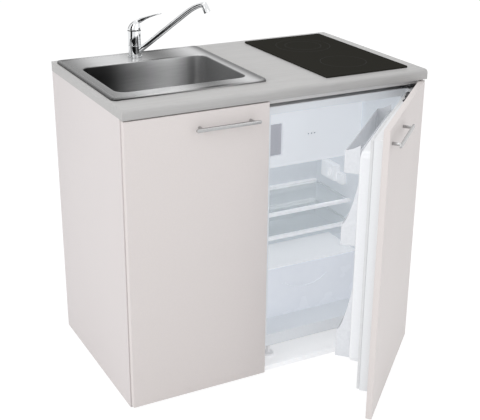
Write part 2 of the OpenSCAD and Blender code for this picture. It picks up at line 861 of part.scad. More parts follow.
module strainer_basket() {
    rim = 3;
    low = bowl_z - 20;
    seat_z = bowl_z + 2 + turn_gap;
    color("#aeb1b4") difference() {
        union() {
            rod_z(drain_x, drain_y, [low, seat_z + 1.2], basket_r);
            rod_z(drain_x, drain_y, [seat_z, seat_z + 1.2], basket_r + rim);
        }
        difference() {
            rod_z(drain_x, drain_y, [low + 1.5, bowl_z + 5], basket_r - 1.5);
            rod_z(drain_x, drain_y, [low, bowl_z + 6], 6);
        }
        for (ring = [[14, 8], [24, 14]], i = [0 : ring[1] - 1])
            rotate_about_drain(i * 360 / ring[1])
                rod_z(drain_x + ring[0], drain_y, [low - 1, low + 3], 2.2);
    }
    color("#aeb1b4") rod_z(drain_x, drain_y, [bowl_z + 3, bowl_z + 12], 9);
}

// Turns its children about the drain's axis
module rotate_about_drain(a) {
    translate([drain_x, drain_y, 0]) rotate([0, 0, a]) translate([-drain_x, -drain_y, 0]) children();
}

module drain_body() {
    wall = 3;
    flange_low = bowl_z - sink_t;
    color("#d8d9da") difference() {
        union() {
            rod_z(drain_x, drain_y, [drain_low, flange_low], drain_r + 6);
            rod_z(drain_x, drain_y, [drain_low - 14, drain_low], tail_r + wall);
        }
        rod_z(drain_x, drain_y, [drain_low + wall, flange_low + 1], drain_r);
        rod_z(drain_x, drain_y, [drain_low - 15, drain_low + wall + 1], waste_r);
        rod_x([drain_x - drain_r - 8, drain_x - drain_r + 8], drain_y, drain_low + 22, overflow_r);
    }
}

module trap_body() {
    pipe_y1 = board_back + 2;
    color("#e4e5e6") difference() {
        union() {
            rod_z(drain_x, drain_y, [trap_top, drain_low - 0.01], waste_r);
            rod_z(drain_x, drain_y, [trap_low, trap_top], trap_r);
            rod_z(drain_x, drain_y, [trap_top, trap_top + 10], waste_r + 8);
            rod_y(drain_x, [drain_y, drain_y + trap_r + 14], outlet_z, waste_r + 6);
            rod_y(drain_x, [drain_y, pipe_y1], outlet_z, waste_r);
        }
        rod_z(drain_x, drain_y, [trap_low - 1, trap_top - 4], trap_r - 3);
        rod_z(drain_x, drain_y, [trap_top - 5, drain_low + 1], waste_r - waste_wall);
        rod_y(drain_x, [drain_y, pipe_y1 + 1], outlet_z, waste_r - waste_wall);
    }
}

module trap_cup() {
    wall = 3;
    top = trap_low;
    color("#d8d9da") difference() {
        union() {
            rod_z(drain_x, drain_y, [top - trap_cup_h, top], trap_r - 2);
            rod_z(drain_x, drain_y, [top - 18, top], trap_r + 4);
            for (i = [0 : 11]) rotate_about_drain(i * 30)
                block([drain_x + trap_r + 3, drain_x + trap_r + 6],
                      [drain_y - 2, drain_y + 2], [top - 18, top]);
        }
        rod_z(drain_x, drain_y, [top - trap_cup_h + wall, top + 1], trap_r - 2 - wall);
    }
}

module overflow_pipe() {
    x0 = bowl_x[0] - sink_t - 11;
    z1 = lip_z - overflow_drop;
    z0 = drain_low + 22;
    color("#d8d9da") {
        rod_x([x0 - overflow_r, bowl_x[0] - sink_t], drain_y, z1, overflow_r + 4);
        rod_z(x0, drain_y, [z0, z1], overflow_r);
        rod_x([x0, drain_x - drain_r - 6], drain_y, z0, overflow_r);
        translate([x0, drain_y, z0]) sphere(overflow_r);
    }
}

// ---- Tap -------------------------------------------------------------------------------------

// Moves its children from the tap's own axes, with X along the spout, to the tap's place
module at_tap() {
    translate([tap_x, tap_y, 0]) rotate([0, 0, -tap_aim]) children();
}

module tap_body() {
    color("#d4d7db") at_tap() difference() {
        union() {
            rod_z(0, 0, [deck_z, ring_top], tap_r + 1.5);
            rod_z(0, 0, [deck_z - shank_len, deck_z], shank_r);
            rod_z(0, 0, [ring_top, collar_top + turn_gap], core_r);
            rod_z(0, 0, [collar_top + turn_gap, upper_top], tap_r);
        }
        rod_z(0, 0, [upper_top - 30, upper_top + 1], core_r + 3);
        for (y = [-supply_pitch / 2, supply_pitch / 2])
            rod_z(0, y, [deck_z - shank_len - 1, deck_z], supply_r);
    }
}

module tap_spout() {
    z0 = deck_z + spout_root;
    x1 = spout_run * cos(spout_rise);
    z1 = z0 + spout_run * sin(spout_rise);
    color("#d4d7db") at_tap() difference() {
        union() {
            rod_z(0, 0, [ring_top + turn_gap, collar_top], tap_r);
            translate([0, 0, z0]) rotate([0, 90 - spout_rise, 0])
                cylinder(h = spout_run, r = spout_r);
            translate([x1, 0, z1]) spout_bend();
        }
        rod_z(0, 0, [deck_z - spout_r, collar_top + 1], core_r + turn_gap);
    }
}

// The bend that turns the spout's end downwards, from the end of its straight run
module spout_bend() {
    translate([bend_r * sin(spout_rise), 0, -bend_r * cos(spout_rise)])
        rotate([90, 0, 0]) rotate([0, 0, 90 - outlet_dip])
            rotate_extrude(angle = spout_rise + outlet_dip)
                translate([bend_r, 0]) circle(spout_r - bend_step);
}

module tap_aerator() {
    x1 = spout_run * cos(spout_rise) + bend_r * (sin(spout_rise) + sin(outlet_dip));
    z1 = deck_z + spout_root + spout_run * sin(spout_rise)
         + bend_r * (cos(outlet_dip) - cos(spout_rise));
    color("#c7cacd") at_tap() translate([x1, 0, z1]) rotate([0, 90 + outlet_dip, 0])
        difference() {
            cylinder(h = aerator_len, r = aerator_r);
            translate([0, 0, aerator_len - 4]) cylinder(h = 5, r = aerator_r - 2.5);
        }
}

module tap_cartridge() {
    color("#8c5a3c") at_tap() {
        rod_z(0, 0, [upper_top - 30, upper_top - 1], core_r + 2.8);
        rod_z(0, 0, [upper_top - 1, upper_top + 6], core_r - 8);
    }
}

// The slot in the head, in which the lever lifts
module lever_slot() {
    block([-9, tap_r + 5], [-lever_w / 2 - turn_gap, lever_w / 2 + turn_gap],
          [lever_z - 9, head_top + 5]);
}

module tap_head() {
    dome_r = 9;
    color("#d4d7db") at_tap() difference() {
        rotate_extrude() {
            translate([0, upper_top + turn_gap]) square([tap_r, head_h - dome_r - turn_gap]);
            translate([0, upper_top + turn_gap]) square([tap_r - dome_r, head_h - turn_gap]);
            translate([tap_r - dome_r, head_top - dome_r]) intersection() {
                circle(dome_r);
                square(dome_r + 1);
            }
        }
        rod_z(0, 0, [upper_top - 1, upper_top + 7], core_r - 7.5);
        lever_slot();
        rod_y(0, [-tap_r, tap_r], lever_z, 2.2);
    }
}

module tap_lever() {
    tip_r = lever_w / 2 - 0.5;
    color("#dde0e3") at_tap() {
        translate([0, 0, lever_z]) rotate([0, -lever_rise, 0])
            round_block([-tip_r, lever_len], [-lever_w / 2, lever_w / 2],
                        [-lever_t / 2, lever_t / 2], tip_r);
        rod_y(0, [-tap_r + 3, tap_r - 3], lever_z, 2);
    }
}

module tap_nut() {
    color("#b08d4a") at_tap() difference() {
        rod_z(0, 0, [deck_z - sink_t - nut_t, deck_z - sink_t], shank_r + 8);
        rod_z(0, 0, [deck_z - sink_t - nut_t - 1, deck_z], shank_r);
        for (a = [0 : 60 : 300]) rotate([0, 0, a])
            block([shank_r + 5.5, shank_r + 20], [-20, 20], [deck_z - nut_t - 3, deck_z]);
    }
}

module tap_supply_pipes() {
    low = deck_z - shank_len - supply_len;
    shank_end = deck_z - shank_len - 1;
    color("#b8704a") at_tap() for (side = [-1, 1]) {
        y = side * supply_pitch / 2;
        rod_z(0, y, [low, shank_end], supply_r);
        rod_z(0, y, [low + 1, deck_z - 12], supply_r - 0.3);
    }
}

// ---- Hob -------------------------------------------------------------------------------------

module hob_glass() {
    color("#2e2d29") round_block(hob_x, hob_y, [glass_z, glass_z + glass_t], glass_r);
}

module hob_seal() {
    color("#1c1c1c") difference() {
        round_block(grow(hob_x, -2), grow(hob_y, -2), [unit_h, glass_z], glass_r);
        round_block(grow(hob_x, -9), grow(hob_y, -9), [unit_h - 1, glass_z + 1], glass_r);
    }
}

module hob_casing() {
    wall = 1.2;
    color("#a8abae") tray(casing_x, casing_y, [casing_low, glass_z], wall);
}

// Puts a heater's children at the rear and front zones; $zone_r is the heater's radius
module at_heaters() {
    zones = [[heater_big, hob_mid[1] + hob_d / 4 - 8], [heater_small, hob_mid[1] - hob_d / 4 + 8]];
    for (zone = zones) {
        $zone_r = zone[0];
        translate([hob_mid[0], zone[1], 0]) children();
    }
}

module hob_heaters() {
    wall = 12;
    color("#d9d2c4") at_heaters() {
        difference() {
            rod_z(0, 0, [glass_z - heater_h, glass_z], $zone_r);
            rod_z(0, 0, [glass_z - heater_h + 8, glass_z + 1], $zone_r - wall);
        }
        for (r = [16 : 12 : $zone_r - wall - 6]) difference() {
            rod_z(0, 0, [glass_z - heater_h + 8, glass_z - heater_h + 13], r + 1.5);
            rod_z(0, 0, [glass_z - heater_h + 7, glass_z - heater_h + 14], r - 1.5);
        }
        for (a = [0 : 120 : 240]) rotate([0, 0, a])
            rod_z($zone_r / 2, 0, [casing_low + 1.2, glass_z - heater_h], 5);
    }
}

module hob_clamps() {
    half = 12;
    reach = 14;
    color("#8d9094") for (y = [hob_mid[1] - 150, hob_mid[1] + 150]) {
        block([casing_x[0] - reach, casing_x[0]], [y - half, y + half], [panel_top - 5, panel_top]);
        block([casing_x[1], casing_x[1] + reach], [y - half, y + half], [panel_top - 5, panel_top]);
    }
}

module hob_terminal_box() {
    x = [casing_x[0] + 20, casing_x[0] + 80];
    y = [casing_y[1] - 70, casing_y[1] - 10];
    z = [casing_low - terminal_h, casing_low];
    gland_x = (x[0] + x[1]) / 2;
    color("#2b2b2d") difference() {
        union() {
            block(x, y, z);
            rod_y(gland_x, [y[1], y[1] + 14], gland_z, gland_r);
        }
        rod_y(gland_x, [y[1] - 10, y[1] + 15], gland_z, 4);
    }
}

// ---- Refrigerator ----------------------------------------------------------------------------

// The cavity, larger by g on every side but the front, with the step over the compressor left out
module cavity(g, y0) {
    difference() {
        block(grow(cav_x, g), [y0, cav_back + g], grow(cav_z, g));
        block(grow(cav_x, g + 1), [hump_y + g, cav_back + g + 1], [cav_z[0] - g - 1, hump_z - g]);
    }
}

module fridge_case() {
    corner_y = [mach_y - skin_t, case_y[1]];
    corner_z = [case_z[0], mach_z + skin_t];
    color("#e9ebee") difference() {
        union() {
            difference() {
                block(case_x, case_y, case_z);
                block(grow(case_x, -skin_t), [case_y[0] - 1, case_y[1] - skin_t],
                      grow(case_z, -skin_t));
            }
            block(case_x, corner_y, corner_z);
        }
        block(grow(case_x, -skin_t), [mach_y, case_y[1] + 1], [case_z[0] + skin_t, mach_z]);
    }
}

module fridge_foam() {
    color("#efe3b8") difference() {
        block(grow(case_x, -skin_t), [case_y[0] + liner_t, case_y[1] - skin_t],
              grow(case_z, -skin_t));
        block(case_x, [mach_y - skin_t, case_y[1]], [case_z[0], mach_z + skin_t]);
        cavity(liner_t, case_y[0]);
    }
}

module fridge_liner() {
    color("#dde1e8") {
        difference() {
            union() {
                block(grow(case_x, -skin_t), [case_y[0], case_y[0] + liner_t],
                      grow(case_z, -skin_t));
                cavity(liner_t, case_y[0]);
            }
            cavity(0, case_y[0] - 1);
        }
        for (i = [0, 1], x = [[cav_x[0], cav_x[0] + rib_w], [cav_x[1] - rib_w, cav_x[1]]])
            block(x, [shelf_ys[i] + 20, cav_back], [shelf_zs[i] - shelf_t - rib_h, shelf_zs[i] - shelf_t]);
        block([cav_x[0], cav_x[0] + 3], [hump_y - 150, hump_y],
              [crisper_z[1] + 1.5 - rib_h, crisper_z[1] + 1.5]);
    }
}

module freezer_box() {
    wall = 3;
    color("#d9dee6") {
        difference() {
            block(cav_x, [freezer_y, cav_back], [cav_z[0] + freezer_z, cav_z[1]]);
            block(grow(cav_x, -wall), [freezer_y - 1, cav_back - wall],
                  [freezer_top, cav_z[1] - wall]);
        }
        block([cav_x[1] - lug_w, cav_x[1]], [flap_y, freezer_y],
              [cav_z[0] + freezer_z, freezer_top]);
    }
}

module freezer_flap() {
    grip_x = [flap_x[0] + 76, flap_x[0] + 151];
    grip_z = [flap_z[0] + 30, flap_z[0] + 138];
    color("#e8ebef") {
        difference() {
            block(flap_x, [flap_y, flap_y + flap_t], flap_z);
            block(grip_x, [flap_y - 1, flap_y + 9], grip_z);
        }
        rod_z(flap_pivot[0], flap_pivot[1], [freezer_top + turn_gap, cav_z[1] - turn_gap], flap_pin_r);
    }
}

// Glass plates of the two shelves
module shelf_glass() {
    color("#cfe0dd") for (i = [0, 1])
        block(grow(cav_x, -1.5), [shelf_ys[i] + trim_d - 4, cav_back - 8],
              [shelf_zs[i] - shelf_t, shelf_zs[i]]);
}

// Front and rear trims that grip the shelves' glass
module shelf_trims() {
    color("#eef0f3") for (i = [0, 1]) difference() {
        union() {
            block(grow(cav_x, -1), [shelf_ys[i], shelf_ys[i] + trim_d],
                  [shelf_zs[i] + 2 - trim_h, shelf_zs[i] + 2]);
            block(grow(cav_x, -rib_w - 1), [cav_back - 16, cav_back],
                  [shelf_zs[i] - shelf_t - 2, shelf_zs[i] + 6]);
        }
        block(grow(cav_x, -1.5), [shelf_ys[i] + trim_d - 4, cav_back - 8],
              [shelf_zs[i] - shelf_t, shelf_zs[i]]);
    }
}

module crisper_cover() {
    z0 = crisper_z[1] + 1.5;
    x1 = crisper_x[1] + 1.5;
    leg = 3;
    color("#dfe3e9") {
        block([cav_x[0], x1 + leg], [crisper_y[0] + 1, hump_y], [z0, z0 + cover_t]);
        block([x1, x1 + leg], [crisper_y[0] + 14, hump_y], [cav_z[0], z0]);
    }
}

// Outline of the crisper from the side, moved in by g, with its front leaning out at the bottom
module crisper_side(g, top) {
    polygon([
        [crisper_y[0] - crisper_lean + g * 1.1, crisper_z[0] + g],
        [crisper_y[1] - g, crisper_z[0] + g],
        [crisper_y[1] - g, top],
        [crisper_y[0] + g * 1.1, top]
    ]);
}

module crisper_drawer() {
    w = crisper_wall;
    color("#cdd6e2") difference() {
        translate([crisper_x[0], 0, 0]) rotate([90, 0, 90])
            linear_extrude(crisper_w) crisper_side(0, crisper_z[1]);
        translate([crisper_x[0] + w, 0, 0]) rotate([90, 0, 90])
            linear_extrude(crisper_w - 2 * w) crisper_side(w, crisper_z[1] + 0.01);
    }
}

module thermostat_housing() {
    x = [cav_x[1] - thermo_out, cav_x[1]];
    color("#f1f3f5") {
        difference() {
            round_block(x, thermo_y, thermo_z, 8);
            rod_x([x[0] - 1, x[0] + 14], knob_y, knob_z, 3.3);
        }
        round_block([cav_x[1] - 18, cav_x[1]], [thermo_y[0] - 40, thermo_y[0]],
                    [thermo_z[0] - 2, thermo_z[1] - 22], 7);
    }
}

module thermostat_knob() {
    x0 = cav_x[1] - thermo_out;
    color("#f6f7f8") {
        difference() {
            rod_x([x0 - 9, x0 - turn_gap], knob_y, knob_z, knob_r);
            for (side = [-1, 1])
                block([x0 - 10, x0 - 3], side > 0 ? [knob_y + 3, knob_y + knob_r + 1]
                      : [knob_y - knob_r - 1, knob_y - 3], [knob_z - knob_r, knob_z + knob_r]);
        }
        rod_x([x0 - turn_gap, x0 + 12], knob_y, knob_z, 3);
    }
}

// The compressor: a sealed pot on its base plate, with its terminal cover
module compressor() {
    pot_top = pot_low + 95;
    crown = 90;
    color("#27282b") {
        rod_z(pot_x, pot_y, [pot_low + 6, pot_top], pot_r);
        intersection() {
            translate([pot_x, pot_y, pot_top - sqrt(crown * crown - pot_r * pot_r)]) sphere(crown);
            rod_z(pot_x, pot_y, [pot_top - EPS, pot_top + crown], pot_r);
        }
        block([pot_x - 82, pot_x + 82], [pot_y - 62, pot_y + 62], [pot_low, pot_low + 6]);
        block([pot_x - pot_r - 24, pot_x - pot_r + 14], [pot_y - 30, pot_y + 30],
              [pot_low + 22, pot_low + 84]);
        rod_z(pot_x + 40, pot_y + 30, [pot_top - 10, mach_z - 4], 4);
    }
}

// The condenser: a sheet on four stand-offs with one tube in level passes across it
module condenser() {
    tube_r = 2.5;
    return_r = 3.2;
    sheet_t = 1;
    pitch = (condenser_z[1] - condenser_z[0]) / (condenser_rows - 1);
    sheet_y = [condenser_y - sheet_t / 2, condenser_y + sheet_t / 2];
    color("#1f2022") {
        block(grow(condenser_x, 8), sheet_y, grow(condenser_z, 12));
        for (i = [0 : condenser_rows - 1])
            rod_x(condenser_x, condenser_y, condenser_z[0] + i * pitch, tube_r);
        for (i = [0 : condenser_rows - 2])
            rod_z(condenser_x[i % 2], condenser_y,
                  [condenser_z[0] + i * pitch - return_r, condenser_z[0] + (i + 1) * pitch + return_r],
                  return_r);
        for (x = grow(condenser_x, -16), z = grow(condenser_z, -16))
            block([x - 5, x + 5], [case_y[1], sheet_y[0]], [z - 8, z + 8]);
    }
}

// Feet, the compressor's rubber mounts and the two fixed hinge arms
module fridge_supports() {
    color("#4b4c50") {
        for (x = grow(case_x, -45), y = grow(case_y, -30)) {
            rod_z(x, y, [board_t, board_t + 9], 18);
            rod_z(x, y, [board_t + 9, case_z[0]], 6);
        }
        for (x = [pot_x - 68, pot_x + 68], y = [pot_y - 48, pot_y + 48])
            rod_z(x, y, [case_z[0] + skin_t, pot_low], 10);
        for (z = fhinge_zs)
            block([case_x[1] - 15, case_x[1] + 1], [case_y[0] - 16, case_y[0]], [z, z + fhinge_h]);
    }
}

// ---- What is drawn ---------------------------------------------------------------------------

worktop();
left_side_panel();
right_side_panel();
partition_panel();
base_board();
back_panel();
top_rails();
corner_brackets();
bracket_screws();
hinge_arms();
left_door_panel();
left_door_handle();
left_hinge_cups();
right_door_panel();
right_door_handle();
right_hinge_cups();
fridge_door_shell();
fridge_door_foam();
fridge_door_liner();
fridge_door_gasket();
upper_door_bin();
middle_door_bin();
bottle_rack();
fridge_door_hinges();
sink_bowl();
sink_clips();
drain_flange();
strainer_basket();
drain_body();
trap_body();
trap_cup();
overflow_pipe();
tap_body();
tap_spout();
tap_aerator();
tap_cartridge();
tap_head();
tap_lever();
tap_nut();
tap_supply_pipes();
hob_glass();
hob_seal();
hob_casing();
hob_heaters();
hob_clamps();
hob_terminal_box();
fridge_case();
fridge_foam();
fridge_liner();
freezer_box();
freezer_flap();
shelf_glass();
shelf_trims();
crisper_cover();
crisper_drawer();
thermostat_housing();
thermostat_knob();
compressor();
condenser();
fridge_supports();
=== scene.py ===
"""Kitchenette unit with sink and hob: the looks of every piece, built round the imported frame.

Units are metres, +Z up, the front towards -Y. Pieces stand where the frame's nodes stand.
"""

import json
import logging
import math
from dataclasses import dataclass, field
from enum import Enum
from typing import Callable, Iterable, Sequence

import bmesh
import bpy
from mathutils import Matrix, Vector

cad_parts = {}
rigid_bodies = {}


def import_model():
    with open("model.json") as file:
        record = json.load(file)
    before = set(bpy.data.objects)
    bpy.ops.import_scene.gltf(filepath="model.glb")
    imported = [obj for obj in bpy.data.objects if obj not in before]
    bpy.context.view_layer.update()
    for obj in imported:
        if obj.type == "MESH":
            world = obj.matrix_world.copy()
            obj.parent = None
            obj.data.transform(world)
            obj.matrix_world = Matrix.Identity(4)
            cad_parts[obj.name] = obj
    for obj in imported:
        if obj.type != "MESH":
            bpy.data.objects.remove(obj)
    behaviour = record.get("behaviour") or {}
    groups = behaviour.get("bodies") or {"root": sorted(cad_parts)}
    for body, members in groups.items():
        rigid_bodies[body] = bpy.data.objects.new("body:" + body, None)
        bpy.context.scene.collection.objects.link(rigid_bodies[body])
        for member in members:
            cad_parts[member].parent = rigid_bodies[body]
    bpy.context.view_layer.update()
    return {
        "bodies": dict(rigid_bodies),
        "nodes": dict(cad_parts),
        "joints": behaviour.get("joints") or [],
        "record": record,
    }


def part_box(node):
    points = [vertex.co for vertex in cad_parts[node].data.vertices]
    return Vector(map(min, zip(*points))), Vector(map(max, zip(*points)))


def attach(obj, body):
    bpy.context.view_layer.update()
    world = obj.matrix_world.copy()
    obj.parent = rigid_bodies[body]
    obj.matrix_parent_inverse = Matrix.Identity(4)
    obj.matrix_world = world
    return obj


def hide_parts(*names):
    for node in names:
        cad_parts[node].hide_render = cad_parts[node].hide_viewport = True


LOG = logging.getLogger("kitchenette")
MM = 0.001
Colour = tuple[float, float, float]
Point = tuple[float, float, float]

# Places that a finish and a piece share.
SINK_X = (-0.492, -0.010)
BOWL_X = (-0.454, -0.043)
BOWL_Y = (-0.154, 0.163)
BOWL_SHADE_Z = (0.9335, 0.9300)
ZONES = ((0.31075, 0.12775, 0.090), (0.31075, 0.12775, 0.060), (0.31075, -0.11675, 0.072))


# ---- Finishes ---------------------------------------------------------------------------------

COAT_ROUGHNESS = 0.08
LEAST_ROUGHNESS = 0.02
RELIEF_DEPTH = 0.4 * MM
# Colour of the painted light that finishes give off.
PAINTED_GLOW_COLOUR = (0.95, 0.97, 1.0, 1.0)
# Dark of the sink's painted reflections.
PAINTED_REFLECTION_DARK = (0.03, 0.03, 0.03, 1.0)
RING_COLOUR = (0.055, 0.055, 0.056, 1.0)
RING_HALF_WIDTH = 0.6 * MM
WEAR_SCALE = 5.0
WEAR_DETAIL = 4.0


class Pattern(Enum):
    """How a finish varies over its surface."""

    STREAKED = "streaked"
    SPECKLED = "speckled"
    CLOUDED = "clouded"


CONTRAST = {Pattern.SPECKLED: (0.56, 0.70), Pattern.STREAKED: (0.38, 0.64),
            Pattern.CLOUDED: (0.30, 0.70)}
NOISE_DETAIL = {Pattern.SPECKLED: 3.0, Pattern.STREAKED: 6.0, Pattern.CLOUDED: 3.0}


@dataclass(frozen=True)
class Finish:
    """One finish: its colours, its gloss and the pattern that varies them.

    Attributes:
        name: The finish's name.
        colour: Its main colour.
        second: The colour that the pattern mixes in.
        roughness: Its middle roughness.
        rough_range: How far wear moves the roughness either way.
        metallic: Its share of metal.
        pattern: The pattern.
        scale: Pattern cells in a metre.
        stretch: How much finer the pattern is along each axis.
        bump: Strength of the relief.
        coat: Weight of the clear coat.
        transmission: Share of light let through.
        ior: Index of refraction.
        alpha: Opacity.
        specular: Strength of the mirror reflection.
        backdrop_and_painted_glow: Strength of the painted light that it gives off, though it is no
            lamp.
        brushed: Strength of the brushed look.
        painted_reflections: Whether the sink's painted reflections, soft dark bands, are laid over
            it.
        rings: Centre and radius of each printed circle.
    """

    name: str
    colour: Colour
    second: Colour
    roughness: float = 0.5
    rough_range: float = 0.06
    metallic: float = 0.0
    pattern: Pattern = Pattern.CLOUDED
    scale: float = 60.0
    stretch: Point = (1.0, 1.0, 1.0)
    bump: float = 0.05
    coat: float = 0.0
    transmission: float = 0.0
    ior: float = 1.45
    alpha: float = 1.0
    specular: float = 0.5
    backdrop_and_painted_glow: float = 0.0
    brushed: float = 0.0
    painted_reflections: bool = False
    rings: tuple[tuple[float, float, float], ...] = ()

    def material(self) -> bpy.types.Material:
        """Return this finish's material, made on first use."""
        found = bpy.data.materials.get(self.label)
        return found or self._build()

    @property
    def label(self) -> str:
        """Return the material's name, kept apart from the frame's own materials."""
        return f"finish_{self.name}"

    def _build(self) -> bpy.types.Material:
        """Build the node tree: pattern group, colours, roughness and bump into one shader.

        Returns:
            The new material.
        """
        mat = bpy.data.materials.new(self.label)
        mat.use_nodes = True
        tree = mat.node_tree
        shader = tree.nodes["Principled BSDF"]
        # Emission carries painted light: parts that give off light though they are no lamp.
        set_inputs(shader, {
            "Metallic": self.metallic, "Coat Weight": self.coat, "Coat Roughness": COAT_ROUGHNESS,
            "Transmission Weight": self.transmission, "IOR": self.ior, "Alpha": self.alpha,
            "Specular IOR Level": self.specular, "Anisotropic": self.brushed,
            "Emission Color": PAINTED_GLOW_COLOUR, "Emission Strength": self.backdrop_and_painted_glow})
        group = tree.nodes.new("ShaderNodeGroup")
        group.node_tree = surface_group(self.pattern)
        set_inputs(group, {"Scale": self.scale, "Stretch": self.stretch})
        mix = tree.nodes.new("ShaderNodeMix")
        mix.data_type = "RGBA"
        set_inputs(mix, {"A": (*self.colour, 1.0), "B": (*self.second, 1.0)})
        tree.links.new(group.outputs["Factor"], mix.inputs["Factor"])
        colour = self._ring_marks(tree, mix.outputs["Result"])
        # Painted reflections: the sink's dark bands laid over the colour.
        if self.painted_reflections:
            shade = tree.nodes.new("ShaderNodeGroup")
            shade.node_tree = painted_reflection_group()
            colour = overlay(tree, colour, shade.outputs["Shade"], PAINTED_REFLECTION_DARK)
        tree.links.new(colour, shader.inputs["Base Color"])
        rough = tree.nodes.new("ShaderNodeMapRange")
        set_inputs(rough, {"To Min": max(LEAST_ROUGHNESS, self.roughness - self.rough_range),
                           "To Max": min(1.0, self.roughness + self.rough_range)})
        tree.links.new(group.outputs["Wear"], rough.inputs["Value"])
        tree.links.new(rough.outputs["Result"], shader.inputs["Roughness"])
        bump = tree.nodes.new("ShaderNodeBump")
        set_inputs(bump, {"Strength": self.bump, "Distance": RELIEF_DEPTH})
        tree.links.new(group.outputs["Height"], bump.inputs["Height"])
        tree.links.new(bump.outputs["Normal"], shader.inputs["Normal"])
        return mat

    def _ring_marks(self, tree: bpy.types.NodeTree,
                    colour: bpy.types.NodeSocket) -> bpy.types.NodeSocket:
        """Lay printed circles over the colour.

        Args:
            tree: The material's node tree.
            colour: The socket that carries the plain colour.

        Returns:
            The socket that carries the marked colour.
        """
        for x, y, radius in self.rings:
            ring = tree.nodes.new("ShaderNodeGroup")
            ring.node_tree = ring_group()
            set_inputs(ring, {"Centre": (x, y, 0.0), "Radius": radius})
            colour = overlay(tree, colour, ring.outputs["Mask"], RING_COLOUR)
        return colour


def set_inputs(node: bpy.types.Node, values: dict[str, object]) -> None:
    """Set inputs of a node.

    Args:
        node: The node.
        values: Each input's name and its value.
    """
    for name, value in values.items():
        node.inputs[name].default_value = value


def overlay(tree: bpy.types.NodeTree, colour: bpy.types.NodeSocket, mask: bpy.types.NodeSocket,
            tint: tuple[float, float, float, float]) -> bpy.types.NodeSocket:
    """Lay a tint over a colour where a mask says so.

    Args:
        tree: The material's node tree.
        colour: The socket that carries the colour.
        mask: The socket that carries the mask.
        tint: The tint.

    Returns:
        The socket that carries the result.
    """
    mix = tree.nodes.new("ShaderNodeMix")
    mix.data_type = "RGBA"
    mix.inputs["B"].default_value = tint
    tree.links.new(mask, mix.inputs["Factor"])
    tree.links.new(colour, mix.inputs["A"])
    return mix.outputs["Result"]


def math_node(tree: bpy.types.NodeTree, operation: str,
              *sources: bpy.types.NodeSocket | float) -> bpy.types.NodeSocket:
    """Add a node that does one sum.

    Args:
        tree: The node tree that gets it.
        operation: The sum.
        sources: A socket or a number for each of its inputs.

    Returns:
        The socket that carries the result.
    """
    node = tree.nodes.new("ShaderNodeMath")
    node.operation = operation
    for entry, source in zip(node.inputs, sources):
        if isinstance(source, bpy.types.NodeSocket):
            tree.links.new(source, entry)
        else:
            entry.default_value = source
    return node.outputs["Value"]


def new_group(name: str, inputs: Sequence[tuple[str, str, object]],
              outputs: Sequence[str]) -> tuple[bpy.types.NodeTree, bpy.types.Node, bpy.types.Node]:
    """Start a shader node group.

    Args:
        name: The group's name.
        inputs: Name, socket type and default value of each input.
        outputs: Names of the value outputs.

    Returns:
        The tree, its input node and its output node.
    """
    tree = bpy.data.node_groups.new(name, "ShaderNodeTree")
    for label, kind, value in inputs:
        socket = tree.interface.new_socket(label, in_out="INPUT", socket_type=kind)
        socket.default_value = value
    for label in outputs:
        tree.interface.new_socket(label, in_out="OUTPUT", socket_type="NodeSocketFloat")
    return tree, tree.nodes.new("NodeGroupInput"), tree.nodes.new("NodeGroupOutput")


def surface_group(pattern: Pattern) -> bpy.types.NodeTree:
    """Return the group that varies a surface in one pattern, made on first use.

    Args:
        pattern: The pattern.

    Returns:
        The group, with a colour factor, a wear value and a relief height as outputs.
    """
    name = f"surface_{pattern.value}"
    if name in bpy.data.node_groups:
        return bpy.data.node_groups[name]
    tree, given, out = new_group(
        name, [("Scale", "NodeSocketFloat", 60.0),
               ("Stretch", "NodeSocketVector", (1.0, 1.0, 1.0))],
        ["Factor", "Wear", "Height"])
    place = tree.nodes.new("ShaderNodeTexCoord")
    stretch = tree.nodes.new("ShaderNodeVectorMath")
    stretch.operation = "MULTIPLY"
    tree.links.new(place.outputs["Object"], stretch.inputs[0])
    tree.links.new(given.outputs["Stretch"], stretch.inputs[1])
    fine = tree.nodes.new("ShaderNodeTexNoise")
    fine.inputs["Detail"].default_value = NOISE_DETAIL[pattern]
    tree.links.new(stretch.outputs["Vector"], fine.inputs["Vector"])
    tree.links.new(given.outputs["Scale"], fine.inputs["Scale"])
    broad = tree.nodes.new("ShaderNodeTexNoise")
    set_inputs(broad, {"Scale": WEAR_SCALE, "Detail": WEAR_DETAIL})
    tree.links.new(place.outputs["Object"], broad.inputs["Vector"])
    contrast = tree.nodes.new("ShaderNodeMapRange")
    least, most = CONTRAST[pattern]
    set_inputs(contrast, {"From Min": least, "From Max": most})
    tree.links.new(fine.outputs["Fac"], contrast.inputs["Value"])
    tree.links.new(contrast.outputs["Result"], out.inputs["Factor"])
    tree.links.new(broad.outputs["Fac"], out.inputs["Wear"])
    tree.links.new(fine.outputs["Fac"], out.inputs["Height"])
    return tree


